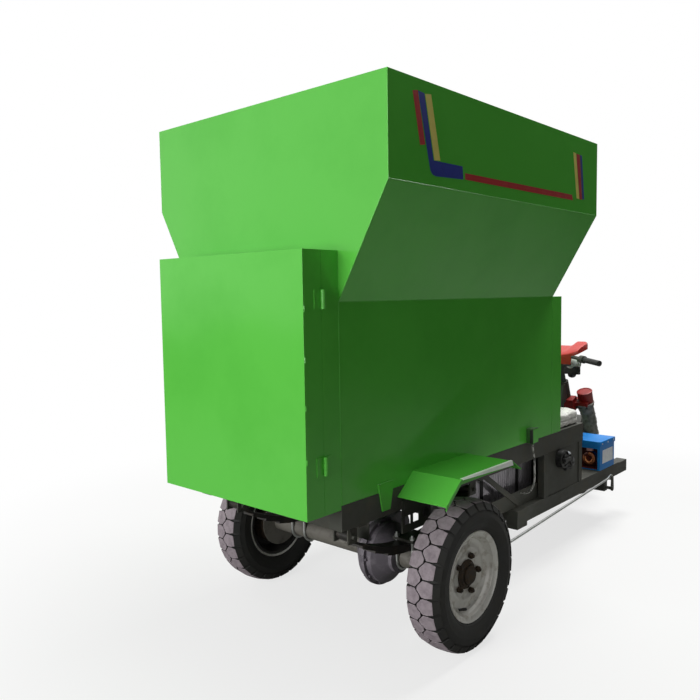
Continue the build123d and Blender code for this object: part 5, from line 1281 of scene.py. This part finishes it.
@dataclass
class Charger:
    """The blue charger box: folded case, screws, blank plate, louvres and the wound coil in its window."""

    node: str = "charger_case"
    case_round: float = 1.8
    window: Box = ((743.2, -369.5, 330.0), (811.5, -141.5, 447.0))
    terminals: Box = ((747.2, -338.0, 431.0), (765.2, -304.0, 446.6))
    coil: Point = (765.0, -314.0, 385.0)
    coil_radius: float = 27.0
    core_radius: float = 10.0
    core_pin: Profile = ((0.0, 6.0), (20.0, 6.0), (20.0, 40.0), (0.0, 40.0))
    turns: int = 40
    wound: float = 300.0
    wire_radius: float = 1.5
    wire_rise: float = 1.4
    loop_points: int = 18
    screw: Profile = (
        (0.0, 0.0), (4.5, 0.0), (4.5, 1.0), (3.4, 2.2), (1.4, 2.4), (1.4, 1.2), (0.0, 1.2))
    screws: Copies = Copies(3, (766.5, -389.5, 476.0), (78.5, 0.0, 0.0))
    plate: Point = (777.0, -385.5, 360.0)
    plate_outline: Profile = (
        (0.0, 0.0), (145.0, 0.0), (147.0, 2.0), (147.0, 74.0), (145.0, 76.0), (2.0, 76.0), (0.0, 74.0))
    plate_depth: float = 0.8
    louvre: Box = ((-0.5, 0.0, 0.0), (0.5, 120.0, 5.0))
    louvres: Copies = Copies(6, (947.5, -315.0, 362.0), (0.0, 0.0, 14.0))

    def build(self) -> None:
        """Make the case and what is fixed to it."""
        case = Shape("charger_box", BLUE_COAT, self.node)
        case.copy(self.node).soften(self.case_round).place(self.node, sharp=40.0)
        self.lining()
        self.winding()
        self.fixings()

    def lining(self) -> None:
        """Line the window with varnished sheet, set a core block in it and fix its terminal block."""
        (x0, y0, z0), (x1, y1, z1) = self.window
        Shape("charger_lining", RED_CORE, self.node).block(
            ((x1 - 1.5, y0 + 0.3, z0 + 0.3), (x1 - 0.3, y1 - 0.3, z1 - 0.3)),
            ((x0, y0 + 0.3, z0 + 0.3), (x1 - 1.6, y0 + 1.2, z1 - 0.3)),
            ((x0, y1 - 1.2, z0 + 0.3), (x1 - 1.6, y1 - 0.3, z1 - 0.3)),
            ((x0, y0 + 1.3, z0 + 0.3), (x1 - 1.6, y1 - 1.3, z0 + 1.2)),
            ((x0 + 28.0, y0 + 122.0, z0 + 1.2), (x1 - 6.0, y1 - 14.0, z1 - 36.0))).place()
        Shape("charger_terminals", PINK_BLOCK, self.node).block(self.terminals).soften(1.5).place()

    def winding(self) -> None:
        """Wind copper wire round the ring core."""
        mid, ring = self.coil_radius, self.core_radius
        section = [(mid + ring * math.cos(a), ring * math.sin(a)) for a in angles(20)]
        core = Shape("charger_core", RED_CORE, self.node).lathe(section, self.coil, AHEAD, 64)
        core.lathe(self.core_pin, self.coil, AHEAD, 40, around=False).place()
        reach = ring + self.wire_rise
        rings = []
        for a in angles(self.loop_points):
            out = Vector((math.sin(a), 0.0, math.cos(a)))
            rings.append(circle(out * reach + Vector(UP) * mid, out, Vector(LEFT), self.wire_radius, 6))
        wire = Shape("charger_winding", COPPER, self.node).skin(rings, around=True)
        wire.repeat(Copies(self.turns, self.coil, axis=AHEAD, turn=self.wound / self.turns), sharp=60.0)

    def fixings(self) -> None:
        """Screw the lid down, stick a blank plate on the right face and cut louvres in the front one."""
        screw = Shape("charger_screws", ZINC, self.node)
        screw.lathe(self.screw, (0.0, 0.0, 0.0), RIGHT, 18, around=False).repeat(self.screws)
        plate = Shape("charger_blank_plate", PALE_PLATE, self.node)
        plate.slab(self.plate_outline, lay(self.plate, AHEAD, UP), self.plate_depth).place()
        Shape("charger_louvres", PHENOLIC, self.node).block(self.louvre).soften(0.4).repeat(self.louvres)


@dataclass
class Underside:
    """What is seen under the body: batteries, spring fittings, punched plate, dark sheets and fender lips.

    The lip's section gives each point's Y and Z, and 1 where the point goes down with the drop.
    """

    rib: Box = ((0.0, -2.4, 0.0), (7.0, 2.4, 176.0))
    rib_faces: tuple[float, float] = (-262.0, 262.0)
    rib_starts: tuple[float, float] = (-486.0, -152.0)
    rib_foot: float = 332.0
    rib_pitch: float = 19.0
    ribs: int = 17
    strap_starts: tuple[float, float] = (-342.0, -8.0)
    strap_width: float = 26.0
    strap_faces: Profile = ((-266.5, -264.6), (264.6, 266.5))
    strap_rise: tuple[float, float] = (326.0, 541.0)
    bolts: tuple[float, float] = (-980.0, -850.0)
    plate_columns: tuple[float, ...] = (-1093.0, -1077.0, -1040.0, -1026.0, -989.0, -975.0, -913.0)
    plate_rows: tuple[float, ...] = (450.0, 478.0, 512.0, 574.0)
    plate_faces: tuple[float, float] = (-390.5, -386.5)
    plate_holes: tuple[tuple[int, int], ...] = ((1, 1), (3, 1))
    grommet: Point = (-944.0, -390.4, 500.0)
    grommet_profile: Profile = (
        (0.0, 0.0), (20.0, 0.0), (20.0, 2.2), (15.0, 2.6), (13.0, 1.0), (0.0, 1.0))
    closing: tuple[Box, ...] = (
        ((231.0, -343.0, 326.0), (234.5, 343.0, 578.0)),
        ((500.9, -352.0, 325.0), (504.4, -323.0, 541.0)),
        ((500.9, 323.0, 325.0), (504.4, 352.0, 541.0)))
    splash: Box = ((-1203.0, -322.0, 440.0), (-1200.0, 322.0, 600.0))
    lip: tuple[float, float] = (-1010.0, -651.0)
    lip_steps: int = 12
    lip_drop: tuple[float, float] = (2.0, 15.0)
    lip_section: tuple[Point, ...] = (
        (588.0, 674.3, 0.0), (592.0, 676.5, 0.0), (600.8, 675.6, 0.0), (604.5, 674.0, 1.0),
        (600.6, 672.5, 1.0))

    def build(self) -> None:
        """Make every piece."""
        self.batteries()
        self.springs()
        self.plate()
        self.sheets()
        self.lips()

    def batteries(self) -> None:
        """Set moulded ribs on the outer faces of the battery cases, and two straps on each."""
        for face, name in zip(self.rib_faces, ("right", "left")):
            for start, row in zip(self.rib_starts, ("rear", "front")):
                rib = Shape(f"case_ribs_{name}_{row}", BATTERY_CASE, "batteries")
                ribs = Copies(self.ribs, (start, face, self.rib_foot), (self.rib_pitch, 0.0, 0.0))
                rib.block(self.rib).soften(1.0, steps=1).repeat(ribs)
        low, high = self.strap_rise
        Shape("battery_straps", PVC_BLACK, "batteries").block(*(
            ((x, y0, low), (x + self.strap_width, y1, high))
            for x in self.strap_starts for y0, y1 in self.strap_faces)).place()

    def springs(self) -> None:
        """Part the bright U-bolts from the black hangers of the springs."""
        node = "spring_fittings"
        Shape("spring_u_bolts", ZINC, node).copy(node, self.bolts).place(node, sharp=40.0)
        Shape("spring_hangers", CHASSIS_BLACK, node).copy(node, self.bolts, inside=False).place(sharp=40.0)

    def plate(self) -> None:
        """Hang the punched plate on the right rail, with two square holes and a grommet."""
        shape = Shape("punched_plate", CHASSIS_BLACK, "upper_rails")
        y0, y1 = self.plate_faces
        for i, (x0, x1) in enumerate(zip(self.plate_columns, self.plate_columns[1:])):
            for j, (z0, z1) in enumerate(zip(self.plate_rows, self.plate_rows[1:])):
                if (i, j) not in self.plate_holes:
                    shape.block(((x0, y0, z0), (x1, y1, z1)))
        shape.place()
        ring = Shape("plate_grommet", PHENOLIC, "upper_rails")
        ring.lathe(self.grommet_profile, self.grommet, RIGHT, 32, around=False).place()

    def sheets(self) -> None:
        """Close the seat box with black sheets, and hang a splash sheet between the rails behind the axle."""
        for name, node, boxes in (("seat_box_closing_sheets", "seat_box", self.closing),
                                  ("rear_splash_sheet", "frame_ties", (self.splash,))):
            Shape(name, CHASSIS_BLACK, node).block(*boxes).soften(1.0).place()

    def lips(self) -> None:
        """Turn a thin rolled edge over the outer lips of both fenders, near-white as a painted highlight."""
        rear, front = self.lip
        for side, name in ((-1, "right"), (1, "left")):
            rings = []
            for k in range(self.lip_steps + 1):
                x = rear + (front - rear) * k / self.lip_steps
                drop = self.lip_drop[0] + self.lip_drop[1] * k / self.lip_steps
                rings.append([Vector((x, side * y, z - drop * share)) for y, z, share in self.lip_section])
            Shape(f"fender_edge_{name}", PAINTED_HIGHLIGHT_EDGE, f"fender_{name}").skin(rings).place()


@dataclass
class Controls:
    """The isolating switch with its bezel, terminals and leads, the wire's clip, and the door's tacks.

    Each boot has its two ends and radius, and each post its place and the sag of its lead.
    """

    switch: Point = (234.5, -409.0, 491.0)
    bezel: Profile = ((38.0, 0.0), (46.0, 0.0), (46.0, 3.0), (43.0, 5.5), (39.0, 5.5))
    boots: tuple[tuple[Point, Point, float], ...] = (
        ((274.5, -392.0, 429.0), (300.5, -394.0, 439.0), 10.0),
        ((300.5, -393.0, 436.0), (342.5, -391.0, 425.0), 8.5))
    posts: tuple[tuple[Point, float], ...] = (
        ((308.1, -395.0, 506.4), 46.0), ((308.1, -395.0, 475.6), 34.0))
    nut: Profile = (
        (0.0, 0.0), (11.0, 0.0), (11.0, 1.5), (9.0, 1.5), (9.0, 8.0), (4.5, 8.0), (4.5, 13.0), (0.0, 13.0))
    lead_radius: float = 6.5
    lead_end: float = -379.5
    clip: Box = ((-126.0, -420.0, 631.6), (-74.0, -386.0, 698.4))
    sleeve: Profile = ((5.0, -2.0), (9.0, -2.0), (9.0, 6.0), (7.0, 10.0), (5.0, 10.0))
    tacks: tuple[float, ...] = (1296.0, 1135.0, 981.0, 808.0)
    tack: tuple[Point, ...] = ((-1578.0, -386.0, -9.0), (-1578.0, -386.6, 0.0), (-1578.0, -386.0, 9.0))
    tack_radius: float = 2.2

    def build(self) -> None:
        """Make every piece."""
        self.terminals()
        self.wire_clip()
        self.door_tacks()

    def terminals(self) -> None:
        """Ring the switch, fit the boots, cap the posts with bright nuts and hang their leads."""
        node = "power_switch"
        Shape("switch_bezel", PHENOLIC, node).lathe(self.bezel, self.switch, RIGHT, 64).place()
        boots = Shape("switch_lead_boots", GRIP_RUBBER, node)
        for start, end, radius in self.boots:
            boots.tube([start, end], radius, 14)
        boots.place()
        nuts = Shape("terminal_nuts", PALE_PLATE, node)
        leads = Shape("terminal_leads", PVC_BLACK, node)
        for post, sag in self.posts:
            nuts.lathe(self.nut, post, RIGHT, 6, around=False)
            x, y, z = post
            path = [(x, y - 4.0, z), (x + 12, y - 6.0, z - 10), (x + 30, y - 5.0, z - sag),
                    (x + 58, y - 2.0, z - sag - 6), (x + 78, y + 8.0, z - sag + 2),
                    (x + 84, self.lead_end, z - sag + 4)]
            leads.tube(path, self.lead_radius, 14)
        nuts.place()
        leads.place()

    def wire_clip(self) -> None:
        """Close the clip's rear end and top in a dark green of painted shade, sleeve the wire and strap the
        end plate.
        """
        (x0, y0, z0), (x1, y1, z1) = self.clip
        node = "body_right_side"
        cover = Shape("wire_clip_end", CLIP_PAINTED_SHADE, node).block(
            ((x0 - 2.5, y0, z0), (x0 + 2.0, y1, z1 + 1.5)),
            ((x0 + 2.0, y0, z1 - 1.0), (x1 + 0.5, y1, z1 + 1.5))).soften(0.8)
        cover.lathe(self.sleeve, WIRE_EXIT, DOWN, 24).place()
        strap = ((x0 - 4.5, y0 + 1.0, z0 + 2.0), (x0 - 2.0, y0 + 15.0, z1 - 3.0))
        Shape("wire_clip_strap", GRIP_RUBBER, node).block(strap).soften(0.8).place()

    def door_tacks(self) -> None:
        """Dress the tacks that hold the door's fold."""
        shape = Shape("door_tacks", GREEN_ENAMEL, "rear_door")
        for rise in self.tacks:
            shape.tube([(x, y, rise + z) for x, y, z in self.tack], self.tack_radius, 8)
        shape.place()


@dataclass(frozen=True)
class Lamp:
    """A square area lamp, in metres, watts and degrees."""

    name: str
    place: Point
    size: float
    power: float
    target: Point = (-0.6, 0.0, 1.1)
    spread: float = 180.0

    def hang(self) -> None:
        """Hang the lamp and point it at its target."""
        light = bpy.data.lights.new(self.name, "AREA")
        light.size = self.size
        light.spread = math.radians(self.spread)
        light.energy = self.power
        lamp = bpy.data.objects.new(self.name, light)
        lamp.location = self.place
        way = Vector(self.target) - Vector(self.place)
        lamp.rotation_euler = way.to_track_quat("-Z", "Y").to_euler()
        bpy.context.scene.collection.objects.link(lamp)


@dataclass
class Studio:
    """The camera, the floor, the dark screen, the pale surround and the lamps, in metres."""

    eye: Point = (-3.1373, -1.9626, 1.3362)
    yaw: float = 41.6676
    pitch: float = -4.4191
    roll: float = -0.8386
    focal_px: float = 710.3364
    frame_px: float = 700.0
    sensor_mm: float = 36.0
    far: float = 200.0
    floor_half: float = 30.0
    floor_tone: str = "#f4f4f2"
    floor_fade: tuple[float, float] = (1.4, 3.4)
    floor_lift: float = 0.72
    floor_bounce: str = "#a8a8a5"
    screen: tuple[Point, ...] = ((-1.0, -7.5, -0.02), (8.5, -2.0, -0.02), (8.5, -2.0, 5.0), (-1.0, -7.5, 5.0))
    screen_tone: str = "#2a2c2a"
    white: str = "#ffffff"
    sky: float = 0.16
    lamps: tuple[Lamp, ...] = (
        Lamp("rear_softbox", (-6.6, 0.3, 1.9), 3.0, 245.0),
        Lamp("top_softbox", (1.6, -0.3, 4.6), 2.0, 190.0),
        Lamp("left_fill", (-1.0, 6.5, 3.0), 3.0, 60.0),
        Lamp("low_strip", (-0.5, -3.6, 0.3), 0.4, 0.15, (-0.26, -0.26, 0.37), 9.0))

    def build(self) -> None:
        """Make the whole studio."""
        self.camera()
        self.floor()
        self.flag()
        self.surround()
        for lamp in self.lamps:
            lamp.hang()
        bpy.context.scene.view_settings.view_transform = "Standard"

    def camera(self) -> None:
        """Stand the camera where the photograph was taken from."""
        yaw, pitch, roll = (math.radians(a) for a in (self.yaw, self.pitch, self.roll))
        ahead = Vector((math.cos(pitch) * math.cos(yaw), math.cos(pitch) * math.sin(yaw), math.sin(pitch)))
        level = Vector((math.sin(yaw), -math.cos(yaw), 0.0))
        above = level.cross(ahead)
        right = math.cos(roll) * level + math.sin(roll) * above
        up = math.cos(roll) * above - math.sin(roll) * level
        turn = Matrix((right, up, -ahead)).transposed().to_4x4()
        lens = bpy.data.cameras.new("photo_camera")
        lens.sensor_width = self.sensor_mm
        lens.lens = self.focal_px / self.frame_px * self.sensor_mm
        lens.clip_end = self.far
        camera = bpy.data.objects.new("photo_camera", lens)
        camera.matrix_world = Matrix.Translation(self.eye) @ turn
        bpy.context.scene.collection.objects.link(camera)
        bpy.context.scene.camera = camera

    def seen(self, tree: bpy.types.NodeTree, *rays: str) -> bpy.types.NodeSocket:
        """Return an output that is one for the rays of the named kinds.

        Args:
            tree: the node tree to add to.
            rays: the kinds of ray, such as Camera, Glossy or Transmission.

        Returns:
            The output.
        """
        path = add_node(tree, "ShaderNodeLightPath")
        shown = path.outputs[f"Is {rays[0]} Ray"]
        for kind in rays[1:]:
            both = {0: shown, 1: path.outputs[f"Is {kind} Ray"]}
            shown = add_node(tree, "ShaderNodeMath", both, operation="MAXIMUM").outputs[0]
        return shown

    def floor(self) -> None:
        """Lay a pale floor that keeps the cart's shadow and runs out to white."""
        material = bpy.data.materials.new("pale_floor")
        tree = blank_tree(material)
        place = add_node(tree, "ShaderNodeTexCoord").outputs["Object"]
        away = add_node(tree, "ShaderNodeVectorMath", {0: place}, operation="LENGTH")
        near, far = self.floor_fade
        white = add_node(tree, "ShaderNodeMapRange", {
            "Value": away.outputs["Value"], "From Min": near, "From Max": far, "To Min": self.floor_lift,
            "To Max": 1.0}, interpolation_type="SMOOTHSTEP")
        lit = add_node(tree, "ShaderNodeBsdfDiffuse", {"Color": linear(self.floor_tone)})
        bare = add_node(tree, "ShaderNodeEmission", {"Color": linear(self.white), "Strength": 1.0})
        shown = add_node(tree, "ShaderNodeMixShader", {
            0: white.outputs["Result"], 1: lit.outputs["BSDF"], 2: bare.outputs["Emission"]})
        bounce = add_node(tree, "ShaderNodeBsdfDiffuse", {"Color": linear(self.floor_bounce)})
        mixed = add_node(tree, "ShaderNodeMixShader", {
            0: self.seen(tree, "Camera", "Transmission"), 1: bounce.outputs["BSDF"],
            2: shown.outputs["Shader"]})
        add_node(tree, "ShaderNodeOutputMaterial", {"Surface": mixed.outputs["Shader"]})
        half = self.floor_half
        corners = ((-half, -half, 0.0), (half, -half, 0.0), (half, half, 0.0), (-half, half, 0.0))
        self.stand("studio_floor", corners, material)

    def flag(self) -> None:
        """Stand a dark screen ahead on the right, out of the picture, that keeps the right side deep."""
        material = bpy.data.materials.new("dark_cloth_screen")
        tree = blank_tree(material)
        cloth = add_node(tree, "ShaderNodeBsdfDiffuse", {"Color": linear(self.screen_tone)})
        add_node(tree, "ShaderNodeOutputMaterial", {"Surface": cloth.outputs["BSDF"]})
        self.stand("dark_screen", self.screen, material).visible_camera = False

    def stand(self, name: str, corners: Sequence[Point], material: bpy.types.Material) -> bpy.types.Object:
        """Set up a flat piece of the stage.

        Args:
            name: what it is called.
            corners: its four corners, in order.
            material: what it is made of.

        Returns:
            The object.
        """
        mesh = bpy.data.meshes.new(name)
        mesh.from_pydata(corners, [], [(0, 1, 2, 3)])
        mesh.materials.append(material)
        piece = bpy.data.objects.new(name, mesh)
        bpy.context.scene.collection.objects.link(piece)
        return piece

    def surround(self) -> None:
        """Light the scene from a soft grey sky that the camera sees as white."""
        world = bpy.data.worlds.new("studio_surround")
        bpy.context.scene.world = world
        tree = blank_tree(world)
        sky = add_node(tree, "ShaderNodeBackground", {"Color": linear(self.white), "Strength": self.sky})
        white = add_node(tree, "ShaderNodeBackground", {"Color": linear(self.white), "Strength": 1.0})
        mixed = add_node(tree, "ShaderNodeMixShader", {
            0: self.seen(tree, "Camera", "Glossy", "Transmission"), 1: sky.outputs["Background"],
            2: white.outputs["Background"]})
        add_node(tree, "ShaderNodeOutputWorld", {"Surface": mixed.outputs["Shader"]})


def main() -> None:
    """Build the studio and dress the cart."""
    logging.basicConfig(level=logging.INFO)
    Studio().build()
    for finish, names in NODE_FINISHES.items():
        for name in names:
            dress_node(name, finish)
            LOG.info("dressed %s in %s", name, finish.name)
    HangingWire().build()
    SheetWork().build()
    Hopper().build()
    for label, side in (("left", 1), ("right", -1)):
        centre = (REAR_WHEEL[0], side * REAR_WHEEL[1], REAR_WHEEL[2])
        Tyre(label, f"tyre_{label}", centre).build()
        Rim(label, f"rim_{label}", centre, side).build()
    Tyre("front", "front_tyre", FRONT_WHEEL, FRONT_WHEEL[2], 52.5, rim_half=36.0, blocks=26).build()
    Seat().build()
    Fork().build()
    Charger().build()
    Underside().build()
    Controls().build()


if __name__ == "__main__":
    main()
